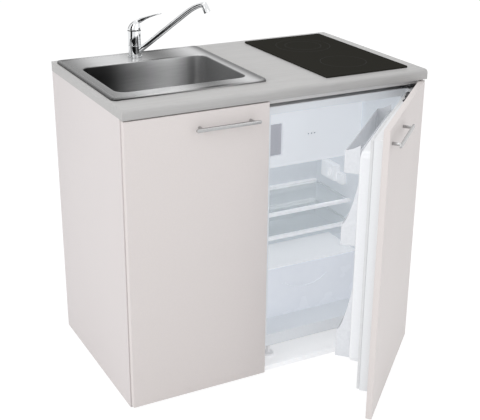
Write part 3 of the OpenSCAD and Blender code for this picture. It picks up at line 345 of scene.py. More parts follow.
def painted_reflection_group() -> bpy.types.NodeTree:
    """Return the group that masks the sink's painted reflections, made on first use: soft dark
    bands, painted on the sheet, that stand in for the dark surroundings mirrored in the polished
    steel.

    Each stop is a share of the way across and how dark the sheet is painted there. Above the
    bowl's edge the deck's stops hold, below it the bowl's.
    """
    name = "basin_bands"
    if name in bpy.data.node_groups:
        return bpy.data.node_groups[name]
    tree, _, out = new_group(name, [], ["Shade"])
    place = tree.nodes.new("ShaderNodeTexCoord")
    parts = tree.nodes.new("ShaderNodeSeparateXYZ")
    tree.links.new(place.outputs["Object"], parts.inputs["Vector"])
    bowl = ((0.0, 1.0), (0.12, 1.0), (0.24, 0.99), (0.34, 0.80), (0.44, 0.64), (0.55, 0.42),
            (0.66, 0.05), (0.76, 0.0), (0.86, 0.50), (0.91, 0.80), (0.95, 0.60), (1.0, 0.82))
    deck = ((0.0, 0.92), (0.10, 0.78), (0.22, 0.35), (0.40, 0.30), (0.50, 0.55), (0.60, 0.98),
            (0.72, 0.92), (0.84, 0.45), (0.92, 0.30), (0.96, 0.70), (1.0, 1.0))
    shades = []
    for stops, (left, right) in ((deck, SINK_X), (bowl, BOWL_X)):
        across = tree.nodes.new("ShaderNodeMapRange")
        set_inputs(across, {"From Min": left, "From Max": right})
        tree.links.new(parts.outputs["X"], across.inputs["Value"])
        ramp = tree.nodes.new("ShaderNodeValToRGB")
        ramp.color_ramp.interpolation = "B_SPLINE"
        while len(ramp.color_ramp.elements) < len(stops):
            ramp.color_ramp.elements.new(0.5)
        for element, (at, value) in zip(ramp.color_ramp.elements, stops):
            element.position = at
            element.color = (value, value, value, 1.0)
        tree.links.new(across.outputs["Result"], ramp.inputs["Fac"])
        shades.append(ramp.outputs["Color"])
    deep = tree.nodes.new("ShaderNodeMapRange")
    high, low = BOWL_SHADE_Z
    set_inputs(deep, {"From Min": high, "From Max": low})
    tree.links.new(parts.outputs["Z"], deep.inputs["Value"])
    mix = tree.nodes.new("ShaderNodeMix")
    tree.links.new(deep.outputs["Result"], mix.inputs["Factor"])
    tree.links.new(shades[0], mix.inputs["A"])
    tree.links.new(shades[1], mix.inputs["B"])
    tree.links.new(mix.outputs["Result"], out.inputs["Shade"])
    return tree


def ring_group() -> bpy.types.NodeTree:
    """Return the group that masks one thin circle about a vertical axis, made on first use."""
    name = "printed_ring"
    if name in bpy.data.node_groups:
        return bpy.data.node_groups[name]
    tree, given, out = new_group(
        name, [("Centre", "NodeSocketVector", (0.0, 0.0, 0.0)),
               ("Radius", "NodeSocketFloat", 0.1)],
        ["Mask"])
    place = tree.nodes.new("ShaderNodeTexCoord")
    flat = tree.nodes.new("ShaderNodeVectorMath")
    flat.operation = "MULTIPLY"
    flat.inputs[1].default_value = (1.0, 1.0, 0.0)
    apart = tree.nodes.new("ShaderNodeVectorMath")
    apart.operation = "DISTANCE"
    tree.links.new(place.outputs["Object"], flat.inputs[0])
    tree.links.new(flat.outputs["Vector"], apart.inputs[0])
    tree.links.new(given.outputs["Centre"], apart.inputs[1])
    off = math_node(tree, "SUBTRACT", apart.outputs["Value"], given.outputs["Radius"])
    inside = math_node(tree, "LESS_THAN", math_node(tree, "ABSOLUTE", off), RING_HALF_WIDTH)
    tree.links.new(inside, out.inputs["Mask"])
    return tree


LAMINATE = Finish("worktop_laminate", (0.45, 0.442, 0.432), (0.48, 0.472, 0.462), 0.50, 0.05,
                  pattern=Pattern.STREAKED, scale=9.0, stretch=(1.0, 14.0, 26.0), bump=0.10)
BOARD = Finish("pale_melamine", (0.69, 0.645, 0.635), (0.665, 0.62, 0.61), 0.50, 0.05,
               pattern=Pattern.CLOUDED, scale=420.0, bump=0.06)
EDGE_BOARD = Finish("inner_melamine", (0.70, 0.695, 0.69), (0.67, 0.665, 0.66), 0.5, 0.05,
                    pattern=Pattern.SPECKLED, scale=500.0, bump=0.06)
DOOR_FRONT = Finish("door_front", (0.725, 0.675, 0.655), (0.71, 0.66, 0.64), 0.44, 0.05,
                    pattern=Pattern.CLOUDED, scale=300.0, bump=0.05, specular=0.35)
ZINC = Finish("zinc_steel", (0.52, 0.53, 0.55), (0.62, 0.63, 0.65), 0.36, 0.10, metallic=1.0,
              pattern=Pattern.CLOUDED, scale=120.0, bump=0.04)
# The base board gives off painted light that brightens it where it lies in the shade under the
# refrigerator.
BASE_BOARD = Finish("base_melamine", (0.82, 0.815, 0.81), (0.80, 0.795, 0.79), 0.50, 0.05,
                    pattern=Pattern.CLOUDED, scale=420.0, bump=0.06, backdrop_and_painted_glow=0.36)
SATIN = Finish("satin_handle", (0.42, 0.42, 0.42), (0.50, 0.50, 0.50), 0.28, 0.06, metallic=1.0,
               pattern=Pattern.STREAKED, scale=30.0, stretch=(1.0, 20.0, 30.0), bump=0.06)
# The sink's sheet carries painted reflections: soft dark bands across the deck and the bowl.
SINK_STEEL = Finish("brushed_sink", (0.83, 0.83, 0.83), (0.89, 0.89, 0.89), 0.24, 0.04,
                    metallic=0.5, pattern=Pattern.STREAKED, scale=14.0,
                    stretch=(1.0, 12.0, 12.0), bump=0.005, brushed=0.4,
                    specular=0.05, painted_reflections=True)
CHROME = Finish("bright_chrome", (0.78, 0.79, 0.80), (0.82, 0.83, 0.84), 0.07, 0.03, metallic=1.0,
                scale=25.0, bump=0.004)
PLUMBING = Finish("white_plumbing", (0.80, 0.81, 0.82), (0.76, 0.77, 0.78), 0.38, 0.06, scale=90.0)
BRASS = Finish("plain_brass", (0.66, 0.50, 0.24), (0.58, 0.42, 0.18), 0.32, 0.08, metallic=1.0)
COPPER = Finish("copper_tube", (0.72, 0.40, 0.26), (0.62, 0.32, 0.20), 0.30, 0.08, metallic=1.0)
CERAMIC = Finish("cartridge_brown", (0.35, 0.22, 0.14), (0.30, 0.18, 0.11), 0.5)
HOB_BLACK = Finish("hob_glass", (0.027, 0.026, 0.022), (0.031, 0.030, 0.026), 0.28, 0.03,
                   scale=700.0, pattern=Pattern.SPECKLED, bump=0.01, specular=0.0, ior=1.0,
                   rings=ZONES)
SEAL = Finish("black_seal", (0.02, 0.02, 0.02), (0.03, 0.03, 0.03), 0.8)
HEATER = Finish("heater_fibre", (0.72, 0.66, 0.55), (0.62, 0.56, 0.46), 0.9, bump=0.3)
BLACK = Finish("black_plastic", (0.03, 0.03, 0.032), (0.045, 0.045, 0.048), 0.5, scale=300.0,
               bump=0.1)
SKIN = Finish("fridge_lacquer", (0.80, 0.81, 0.82), (0.78, 0.79, 0.80), 0.35, 0.05,
              scale=260.0, bump=0.03)
# The liners give off painted light that stands in for light inside the refrigerator's cabin.
LINER = Finish("fridge_liner", (0.83, 0.85, 0.875), (0.81, 0.83, 0.86), 0.30, 0.05,
               scale=160.0, bump=0.03, coat=0.1, backdrop_and_painted_glow=0.25)
INNER_LINER = Finish("inner_liner", (0.76, 0.79, 0.82), (0.74, 0.77, 0.80), 0.30, 0.05,
                     scale=160.0, bump=0.03, coat=0.1, backdrop_and_painted_glow=0.13)
DOOR_LINER = Finish("door_inner_white", (0.84, 0.85, 0.865), (0.82, 0.83, 0.845), 0.34, 0.05,
                    scale=160.0, bump=0.03, backdrop_and_painted_glow=0.05)
GRIP_GREY = Finish("grip_grey", (0.66, 0.66, 0.70), (0.64, 0.64, 0.68), 0.42, 0.05, scale=200.0)
GASKET = Finish("gasket_white", (0.72, 0.725, 0.73), (0.68, 0.685, 0.69), 0.6, bump=0.08)
# The bins and the crisper give off a little painted light, standing in for light inside the cabin.
FROSTED = Finish("frosted_bin", (0.80, 0.815, 0.84), (0.86, 0.875, 0.90), 0.30, 0.10,
                 pattern=Pattern.CLOUDED, scale=110.0, bump=0.35, alpha=0.72, backdrop_and_painted_glow=0.04)
CRISPER = Finish("crisper_pale", (0.78, 0.81, 0.86), (0.76, 0.79, 0.845), 0.26, 0.06,
                 scale=30.0, bump=0.05, alpha=0.92, backdrop_and_painted_glow=0.21)
HINGE_DARK = Finish("dark_hinge", (0.085, 0.085, 0.09), (0.12, 0.12, 0.125), 0.42, 0.08,
                    metallic=0.6)
# The feet give off painted light that brightens them in the shade under the refrigerator.
FOOT_PALE = Finish("foot_plastic", (0.88, 0.88, 0.89), (0.85, 0.85, 0.86), 0.55, 0.06, scale=240.0,
                   backdrop_and_painted_glow=0.12)
PANE = Finish("shelf_pane", (0.88, 0.94, 0.94), (0.86, 0.92, 0.92), 0.06, 0.03, scale=20.0,
              bump=0.01, transmission=0.7, alpha=0.30)
# The trims give off painted light, standing in for light inside the cabin.
TRIM = Finish("white_trim", (0.88, 0.885, 0.895), (0.86, 0.865, 0.875), 0.32, 0.05, scale=150.0,
              backdrop_and_painted_glow=0.22)
FOAM = Finish("rigid_foam", (0.80, 0.70, 0.42), (0.74, 0.64, 0.38), 0.9, bump=0.4, scale=200.0)
POT_BLACK = Finish("compressor_lacquer", (0.02, 0.02, 0.022), (0.03, 0.03, 0.032), 0.32, 0.08)


# ---- Mesh helpers -----------------------------------------------------------------------------

WELD = 0.004 * MM
LOOP_WELD = 0.001 * MM
FLAT_ANGLE = 0.6
EDGE_ANGLE = 40.0
CORNER_STEPS = 10
LATHE_STEPS = 64


@dataclass
class Workshop:
    """Makes finished pieces and seats them on the frame's bodies.

    Attributes:
        frame: What the frame holds.
        made: How many pieces and nodes have been finished.
        body_of: The body that holds each node.
    """

    frame: dict
    made: int = 0
    body_of: dict[str, str] = field(default_factory=dict)

    def __post_init__(self) -> None:
        """Note which body holds each node."""
        for body, nodes in self.frame["record"]["behaviour"]["bodies"].items():
            for node in nodes:
                self.body_of[node] = body

    def dress(self, nodes: Iterable[str], finish: Finish) -> None:
        """Give frame nodes a finish as they are.

        Args:
            nodes: The nodes.
            finish: Their finish.
        """
        for node in nodes:
            holder = self.frame["nodes"][node]
            holder.data.materials.clear()
            holder.data.materials.append(finish.material())
            self.made += 1
            LOG.info("%s dressed in %s", node, finish.name)

    def add(self, name: str, bm: bmesh.types.BMesh, finish: Finish, body: str,
            replaces: Sequence[str] = (), smooth: float = 35.0) -> None:
        """Turn a mesh into a piece that rides on a body.

        Args:
            name: The piece's name.
            bm: The mesh, in place; it is freed.
            finish: The piece's finish.
            body: The body that carries it.
            replaces: Frame nodes that the piece stands for.
            smooth: Edges sharper than this many degrees stay sharp.
        """
        mesh = bpy.data.meshes.new(name)
        bm.to_mesh(mesh)
        bm.free()
        shade(mesh, smooth)
        self.seat(name, mesh, finish, body, replaces)

    def seat(self, name: str, mesh: bpy.types.Mesh, finish: Finish, body: str,
             replaces: Sequence[str] = ()) -> None:
        """Link a finished mesh as a piece, ride it on its body and report it.

        Args:
            name: The piece's name.
            mesh: The mesh, in place.
            finish: The piece's finish.
            body: The body that carries it.
            replaces: Frame nodes that the piece stands for.
        """
        mesh.materials.clear()
        mesh.materials.append(finish.material())
        piece = bpy.data.objects.new(name, mesh)
        bpy.context.scene.collection.objects.link(piece)
        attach(piece, body)
        if replaces:
            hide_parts(*replaces)
        self.made += 1
        LOG.info("%s: %d faces on %s", name, len(mesh.polygons), body)

    def refine(self, node: str, finish: Finish, bevel_mm: float, segments: int = 2) -> None:
        """Replace a node by the same form with eased edges and smooth round faces.

        Args:
            node: The frame node.
            finish: The piece's finish.
            bevel_mm: Width of the eased edges.
            segments: Steps across an eased edge.
        """
        bm = bmesh.new()
        bm.from_mesh(self.frame["nodes"][node].data)
        bmesh.ops.remove_doubles(bm, verts=bm.verts, dist=WELD)
        bmesh.ops.dissolve_limit(bm, angle_limit=math.radians(FLAT_ANGLE), verts=bm.verts,
                                 edges=bm.edges)
        holder = mesh_object(node + "_copy", bm)
        ease = holder.modifiers.new("ease", "BEVEL")
        ease.width = bevel_mm * MM
        ease.segments = segments
        ease.limit_method = "ANGLE"
        ease.angle_limit = math.radians(EDGE_ANGLE)
        ease.harden_normals = True
        ease.use_clamp_overlap = True
        name = node + "_finished"
        finished = plain_mesh(holder, name)
        bpy.data.objects.remove(holder)
        self.seat(name, finished, finish, self.body_of[node], [node])

    def refine_all(self, rows: Iterable[tuple[str, Finish, float, int]]) -> None:
        """Refine several nodes in turn.

        Args:
            rows: Node, finish, width of the eased edges in millimetres and steps across them.
        """
        for node, finish, bevel_mm, segments in rows:
            self.refine(node, finish, bevel_mm, segments)


def shade(mesh: bpy.types.Mesh, smooth: float) -> None:
    """Shade a mesh smooth between its sharp edges.

    Args:
        mesh: The mesh.
        smooth: Edges sharper than this many degrees stay sharp.
    """
    mesh.shade_smooth()
    mesh.set_sharp_from_angle(angle=math.radians(smooth))


def plain_mesh(holder: bpy.types.Object, name: str) -> bpy.types.Mesh:
    """Return the object's evaluated shape as a plain mesh.

    Args:
        holder: The object.
        name: The mesh's name.

    Returns:
        The mesh.
    """
    bpy.context.view_layer.update()
    graph = bpy.context.evaluated_depsgraph_get()
    mesh = bpy.data.meshes.new_from_object(holder.evaluated_get(graph), depsgraph=graph)
    mesh.name = name
    return mesh


def rounded_ring(x: tuple[float, float], y: tuple[float, float], z: float,
                 r: float) -> list[Vector]:
    """Return the points of a round-cornered rectangle at one height.

    Args:
        x: Its limits across.
        y: Its limits in depth.
        z: Its height.
        r: Its corner radius.

    Returns:
        The points, anticlockwise, the same number for any size.
    """
    points = []
    for quarter, (cx, cy) in enumerate(((x[1] - r, y[1] - r), (x[0] + r, y[1] - r),
                                        (x[0] + r, y[0] + r), (x[1] - r, y[0] + r))):
        for i in range(CORNER_STEPS + 1):
            a = math.pi / 2 * (quarter + i / CORNER_STEPS)
            points.append(Vector((cx + r * math.cos(a), cy + r * math.sin(a), z)))
    return points


def loft(bm: bmesh.types.BMesh, rings: Sequence[Sequence[Vector]]) -> None:
    """Join rings of equal point counts by bands of faces.

    Args:
        bm: The mesh that gets them.
        rings: The rings, in order.
    """
    rows = [[bm.verts.new(p) for p in ring] for ring in rings]
    count = len(rows[0])
    for low, high in zip(rows, rows[1:]):
        for i in range(count):
            j = (i + 1) % count
            bm.faces.new((low[i], low[j], high[j], high[i]))


def lathe(profile: Sequence[tuple[float, float]], axis_x: float, axis_y: float,
          hollow: bool = False) -> bmesh.types.BMesh:
    """Return a solid turned about a vertical axis.

    Args:
        profile: Radius and height of each point, from the bottom up.
        axis_x: Where the axis stands across.
        axis_y: Where the axis stands in depth.
        hollow: The profile is a closed loop, so the solid is a ring.

    Returns:
        The mesh, closed by flat ends unless it is a ring.
    """
    bm = bmesh.new()
    if hollow:
        profile = [*profile, profile[0]]
    turns = [2 * math.pi * i / LATHE_STEPS for i in range(LATHE_STEPS)]
    rings = [[Vector((axis_x + r * math.cos(a), axis_y + r * math.sin(a), z)) for a in turns]
             for r, z in profile]
    loft(bm, rings)
    if hollow:
        bmesh.ops.remove_doubles(bm, verts=bm.verts, dist=LOOP_WELD)
        bmesh.ops.recalc_face_normals(bm, faces=bm.faces)
    else:
        cap_ends(bm, LATHE_STEPS)
    return bm


def box_mesh(bm: bmesh.types.BMesh, low: Point, high: Point) -> None:
    """Add a box between two corners.

    Args:
        bm: The mesh that gets it.
        low: Its lowest corner.
        high: Its highest corner.
    """
    middle = [(a + b) / 2 for a, b in zip(low, high)]
    size = [b - a for a, b in zip(low, high)]
    bmesh.ops.create_cube(bm, size=1.0,
                          matrix=Matrix.Translation(middle) @ Matrix.Diagonal((*size, 1.0)))


def cap_ends(bm: bmesh.types.BMesh, count: int) -> None:
    """Close a loft by a face at its first and at its last ring, and face it outwards.

    Args:
        bm: The loft.
        count: Points in a ring.
    """
    bm.verts.ensure_lookup_table()
    bm.faces.new(list(reversed(bm.verts[:count])))
    bm.faces.new(bm.verts[-count:])
    bmesh.ops.recalc_face_normals(bm, faces=bm.faces)


def mesh_object(name: str, bm: bmesh.types.BMesh) -> bpy.types.Object:
    """Link a mesh as a smooth working object.

    Args:
        name: Its name.
        bm: The mesh; it is freed.

    Returns:
        The object.
    """
    mesh = bpy.data.meshes.new(name)
    bm.to_mesh(mesh)
    bm.free()
    mesh.shade_smooth()
    holder = bpy.data.objects.new(name, mesh)
    bpy.context.scene.collection.objects.link(holder)
    return holder


def extruded(bm: bmesh.types.BMesh, outline: Sequence[Vector], along: Vector) -> None:
    """Add the solid that an outline sweeps over when it moves along a vector.

    Args:
        bm: The mesh that gets it.
        outline: The outline's points.
        along: The vector.
    """
    near = [bm.verts.new(p) for p in outline]
    far = [bm.verts.new(p + along) for p in outline]
    bm.faces.new(near)
    bm.faces.new(list(reversed(far)))
    for i in range(len(outline)):
        j = (i + 1) % len(outline)
        bm.faces.new((near[j], near[i], far[i], far[j]))


def tube(points: Sequence[Vector], radius: Callable[[float], float],
         sides: int = 28) -> bmesh.types.BMesh:
    """Return a round tube along a line of points.

    Args:
        points: The centre line.
        radius: Gives the radius at each share of the way, from 0 to 1.
        sides: Sides round the tube.

    Returns:
        The mesh, closed by flat ends.
    """
    bm = bmesh.new()
    rings = []
    across = Vector((0, 0, 1)).cross(points[1] - points[0])
    if across.length < 1e-6:
        across = Vector((1, 0, 0))
    across.normalize()
    for k, p in enumerate(points):
        run = (points[min(k + 1, len(points) - 1)] - points[max(k - 1, 0)]).normalized()
        across = (across - run * across.dot(run)).normalized()
        up = run.cross(across)
        r = radius(k / (len(points) - 1))
        rings.append([p + (across * math.cos(2 * math.pi * i / sides)
                           + up * math.sin(2 * math.pi * i / sides)) * r for i in range(sides)])
    loft(bm, rings)
    cap_ends(bm, sides)
    return bm


def link_stack(layers: Sequence[tuple[float, Sequence[tuple[float, float]]]], half: float,
               thick: float, pin: float, pin_lift: float,
               pins_from: int) -> bmesh.types.BMesh:
    """Return stacked flat hinge links with a round pin head at their joints.

    Args:
        layers: Height and corner points of each layer's links.
        half: Half a link's width.
        thick: A link's thickness.
        pin: A pin head's radius.
        pin_lift: How far a pin head's middle stands above its layer's foot.
        pins_from: The first corner that has a pin.

    Returns:
        The mesh.
    """
    bm = bmesh.new()
    pin_depth = 4.4 * MM
    for height, points in layers:
        for (ax, ay), (bx, by) in zip(points, points[1:]):
            run = Vector((bx - ax, by - ay, 0.0)).normalized()
            side = Vector((-run.y, run.x, 0.0)) * half
            a, b = Vector((ax, ay, height)), Vector((bx, by, height))
            extruded(bm, [a - side, a + side, b + side, b - side], Vector((0, 0, thick)))
        for px, py in points[pins_from:]:
            middle = Vector((px, py, height + pin_lift))
            bmesh.ops.create_cone(bm, cap_ends=True, segments=20, radius1=pin, radius2=pin,
                                  depth=pin_depth, matrix=Matrix.Translation(middle))
    bmesh.ops.recalc_face_normals(bm, faces=bm.faces)
    return bm


# ---- Repeats, by Geometry Nodes ---------------------------------------------------------------

def repeat_tree(name: str, finish: Finish) -> bpy.types.NodeTree:
    """Return a tree that sets a short peg at each point of a grid, made on first use.

    Args:
        name: The tree's name.
        finish: The finish of the pegs.

    Returns:
        The tree, with inputs for the grid's size and counts and for the peg's size.
    """
    if name in bpy.data.node_groups:
        return bpy.data.node_groups[name]
    tree = bpy.data.node_groups.new(name, "GeometryNodeTree")
    face = tree.interface
    face.new_socket("Geometry", in_out="INPUT", socket_type="NodeSocketGeometry")
    for label in ("Width", "Height", "Radius", "Depth", "Taper"):
        face.new_socket(label, in_out="INPUT", socket_type="NodeSocketFloat")
    for label in ("Columns", "Rows", "Sides"):
        face.new_socket(label, in_out="INPUT", socket_type="NodeSocketInt")
    face.new_socket("Geometry", in_out="OUTPUT", socket_type="NodeSocketGeometry")
    given = tree.nodes.new("NodeGroupInput")
    out = tree.nodes.new("NodeGroupOutput")
    grid = tree.nodes.new("GeometryNodeMeshGrid")
    peg = tree.nodes.new("GeometryNodeMeshCone")
    spread = tree.nodes.new("GeometryNodeInstanceOnPoints")
    real = tree.nodes.new("GeometryNodeRealizeInstances")
    paint = tree.nodes.new("GeometryNodeSetMaterial")
    paint.inputs["Material"].default_value = finish.material()
    for source, target in (("Width", "Size X"), ("Height", "Size Y"), ("Columns", "Vertices X"),
                           ("Rows", "Vertices Y")):
        tree.links.new(given.outputs[source], grid.inputs[target])
    for source, target in (("Sides", "Vertices"), ("Radius", "Radius Bottom"),
                           ("Depth", "Depth")):
        tree.links.new(given.outputs[source], peg.inputs[target])
    top = math_node(tree, "MULTIPLY", given.outputs["Radius"], given.outputs["Taper"])
    tree.links.new(top, peg.inputs["Radius Top"])
    tree.links.new(grid.outputs["Mesh"], spread.inputs["Points"])
    tree.links.new(peg.outputs["Mesh"], spread.inputs["Instance"])
    tree.links.new(spread.outputs["Instances"], real.inputs["Geometry"])
    tree.links.new(real.outputs["Geometry"], paint.inputs["Geometry"])
    tree.links.new(paint.outputs["Geometry"], out.inputs["Geometry"])
    return tree


@dataclass
class PegGrid:
    """A flat grid of equal pegs, such as pin holes, dots, ribs or wires.

    Attributes:
        name: The piece's name.
        finish: Its finish.
        body: The body that carries it.
        place: Where the grid's middle stands and which way the pegs point.
        width: The grid's width.
        height: The grid's height.
        columns: Pegs across.
        rows: Pegs up.
        radius: A peg's radius at its foot.
        depth: A peg's length.
        taper: The radius at its tip as a share of that at its foot.
        sides: Sides round a peg.
    """

    name: str
    finish: Finish
    body: str
    place: Matrix
    width: float
    height: float
    columns: int
    rows: int
    radius: float
    depth: float
    taper: float = 0.85
    sides: int = 20

    def build(self, shop: Workshop) -> None:
        """Run the tree once and seat its result.

        Args:
            shop: The workshop that seats pieces.
        """
        seed = bpy.data.meshes.new(self.name + "_seed")
        holder = bpy.data.objects.new(self.name + "_grid", seed)
        bpy.context.scene.collection.objects.link(holder)
        modifier = holder.modifiers.new("repeat", "NODES")
        modifier.node_group = repeat_tree("pegs_" + self.finish.name, self.finish)
        sizes = {"Width": self.width, "Height": self.height, "Radius": self.radius,
                 "Depth": self.depth, "Taper": self.taper, "Columns": self.columns,
                 "Rows": self.rows, "Sides": self.sides}
        for item in modifier.node_group.interface.items_tree:
            if item.in_out == "INPUT" and item.name in sizes:
                modifier[item.identifier] = sizes[item.name]
        mesh = plain_mesh(holder, self.name)
        bpy.data.objects.remove(holder)
        mesh.transform(self.place)
        shop.seat(self.name, mesh, self.finish, self.body)


def facing(origin: Point, outward: Vector, up: Vector = Vector((0, 0, 1))) -> Matrix:
    """Return the placement whose Z runs outward and whose Y runs up, at a point.

    Args:
        origin: The point.
        outward: The way that Z runs.
        up: The way that Y runs, as nearly as it can.

    Returns:
        The placement.
    """
    z = outward.normalized()
    x = up.cross(z).normalized()
    y = z.cross(x)
    turn = Matrix((x, y, z)).transposed().to_4x4()
    return Matrix.Translation(origin) @ turn


# ---- Sub-assemblies ---------------------------------------------------------------------------

@dataclass
class Studio:
    """Camera, lights, floor and background.

    Attributes:
        azimuth: Which way the camera looks, in degrees from +Y.
        dip: How far it looks down, in degrees.
        roll: How far it leans, in degrees.
        place: Where it stands.
        lens: Its focal length in millimetres.
        sensor: Its sensor's width in millimetres.
        middle: Where the lamps aim.
        lamps: Place, size and power of each lamp.
        cabin: Place and aim of the refrigerator's own lamp.
        cards: Middle, width and height of each dark card.
        card_aim: Where the cards face.
        ambient: Strength of the surroundings' light.
        reach: How far the floor runs each way.
        floor_glow: Strength of the floor's own white.
        floor_share: Share of that white in what is seen; the rest keeps the shadow.
    """

    azimuth: float = -27.80
    dip: float = 22.21
    roll: float = 0.46
    place: Point = (-1.398, -2.674, 1.678)
    lens: float = 74.63
    sensor: float = 36.0
    middle: Point = (0.0, 0.0, 0.5)
    lamps: tuple[tuple[str, Point, float, float], ...] = (
        ("key", (-3.4, -1.2, 2.5), 2.4, 46.0), ("fill", (0.9, -3.6, 1.4), 2.2, 13.0),
        ("top", (0.2, 0.4, 3.4), 1.6, 15.0))
    cabin: tuple[Point, Point] = ((0.425, 0.052, 0.467), (-0.1, -0.02, 0.44))
    cards: tuple[tuple[str, Point, float, float], ...] = (
        ("left", (-2.0, -0.2, 1.3), 1.1, 2.4), ("far", (0.9, 1.8, 4.3), 2.4, 1.0),
        ("rear", (-1.3, 2.2, 1.9), 0.6, 2.0))
    card_aim: Point = (-0.25, 0.0, 0.93)
    ambient: float = 0.78
    reach: float = 14.0
    floor_glow: float = 1.12
    floor_share: float = 0.80

    def camera(self) -> None:
        """Put the camera at the photographed viewing angle."""
        az, el, roll = (math.radians(v) for v in (self.azimuth, self.dip, self.roll))
        look = Vector((-math.sin(az) * math.cos(el), math.cos(az) * math.cos(el), -math.sin(el)))
        side = Vector((math.cos(az), math.sin(az), 0.0))
        rise = side.cross(look)
        side, rise = (side * math.cos(roll) + rise * math.sin(roll),
                      rise * math.cos(roll) - side * math.sin(roll))
        data = bpy.data.cameras.new("camera")
        data.lens = self.lens
        data.sensor_width = self.sensor
        data.sensor_fit = "HORIZONTAL"
        holder = bpy.data.objects.new("camera", data)
        turn = Matrix((side, rise, -look)).transposed().to_4x4()
        holder.matrix_world = Matrix.Translation(self.place) @ turn
        bpy.context.scene.collection.objects.link(holder)
        bpy.context.scene.camera = holder

    def lamp(self, name: str, at: Point, aim: Point, size: float, watts: float) -> None:
        """Add one soft square lamp that points at a place.

        Args:
            name: The lamp's name.
            at: Where it stands.
            aim: Where it points.
            size: Its side.
            watts: Its power.
        """
        data = bpy.data.lights.new(name, "AREA")
        data.size = size
        data.energy = watts
        holder = bpy.data.objects.new(name, data)
        holder.location = at
        holder.rotation_euler = (Vector(aim) - Vector(at)).to_track_quat("-Z", "Y").to_euler()
        bpy.context.scene.collection.objects.link(holder)

    def lights(self) -> None:
        """Light the object from the left, the front and above, and the refrigerator inside."""
        for name, at, size, watts in self.lamps:
            self.lamp(name, at, self.middle, size, watts)
        self.lamp("inner", *self.cabin, size=0.03, watts=0.03)

    def flags(self) -> None:
        """Hang the dark cards that only polished metal sees, so that it shows its form."""
        dark = bpy.data.materials.new("dark_card")
        dark.use_nodes = True
        shader = dark.node_tree.nodes["Principled BSDF"]
        set_inputs(shader, {"Base Color": (0.012, 0.012, 0.012, 1.0), "Roughness": 1.0,
                            "Specular IOR Level": 0.0})
        for name, at, wide, tall in self.cards:
            bm = bmesh.new()
            towards = Vector(self.card_aim) - Vector(at)
            turn = towards.to_track_quat("Z", "Y").to_matrix().to_4x4()
            bmesh.ops.create_grid(bm, x_segments=1, y_segments=1, size=0.5,
                                  matrix=Matrix.Translation(at) @ turn
                                  @ Matrix.Diagonal((wide, tall, 1.0, 1.0)))
            card = mesh_object(f"card_{name}", bm)
            card.data.materials.append(dark)
            card.visible_camera = card.visible_diffuse = card.visible_shadow = False
            card.visible_transmission = False

    def seen(self, tree: bpy.types.NodeTree) -> bpy.types.NodeSocket:
        """Tell rays that see the surroundings from rays that only gather light.

        Args:
            tree: The node tree that gets the nodes.

        Returns:
            A socket that is 1 for what is seen directly, in a mirror or through glass.
        """
        path = tree.nodes.new("ShaderNodeLightPath")
        direct = math_node(tree, "MAXIMUM", path.outputs["Is Camera Ray"],
                           path.outputs["Is Glossy Ray"])
        return math_node(tree, "MAXIMUM", direct, path.outputs["Is Transmission Ray"])

    def backdrop(self) -> None:
        """Make the world white to the eye and a pale ambient light otherwise."""
        world = bpy.data.worlds.new("surroundings")
        world.use_nodes = True
        tree = world.node_tree
        tree.nodes.clear()
        out = tree.nodes.new("ShaderNodeOutputWorld")
        mix = tree.nodes.new("ShaderNodeMixShader")
        ambient = tree.nodes.new("ShaderNodeBackground")
        set_inputs(ambient, {"Color": (0.97, 0.98, 1.0, 1.0), "Strength": self.ambient})
        white = tree.nodes.new("ShaderNodeBackground")
        white.inputs["Color"].default_value = (1.0, 1.0, 1.0, 1.0)
        tree.links.new(self.seen(tree), mix.inputs[0])
        tree.links.new(ambient.outputs[0], mix.inputs[1])
        tree.links.new(white.outputs[0], mix.inputs[2])
        tree.links.new(mix.outputs[0], out.inputs[0])
        bpy.context.scene.world = world

    def floor(self) -> None:
        """Lay the pale floor that keeps a soft shadow."""
        bm = bmesh.new()
        reach = self.reach
        corners = ((-reach, -reach), (reach, -reach), (reach, reach), (-reach, reach))
        bm.faces.new([bm.verts.new((x, y, 0.0)) for x, y in corners])
        holder = mesh_object("floor", bm)
        mat = bpy.data.materials.new("pale_floor")
        mat.use_nodes = True
        tree = mat.node_tree
        shader = tree.nodes["Principled BSDF"]
        set_inputs(shader, {"Base Color": (0.90, 0.90, 0.90, 1.0), "Roughness": 0.9})
        backdrop_and_painted_glow = tree.nodes.new("ShaderNodeEmission")
        set_inputs(backdrop_and_painted_glow, {"Color": (1.0, 1.0, 1.0, 1.0), "Strength": self.floor_glow})
        mix = tree.nodes.new("ShaderNodeMixShader")
        share = math_node(tree, "MULTIPLY", self.seen(tree), self.floor_share)
        tree.links.new(share, mix.inputs[0])
        tree.links.new(shader.outputs[0], mix.inputs[1])
        tree.links.new(backdrop_and_painted_glow.outputs[0], mix.inputs[2])
        tree.links.new(mix.outputs[0], tree.nodes["Material Output"].inputs[0])
        holder.data.materials.append(mat)

    def build(self) -> None:
        """Set up the whole studio."""
        self.camera()
        self.lights()
        self.backdrop()
        self.floor()
        self.flags()
        bpy.context.scene.view_settings.view_transform = "Standard"


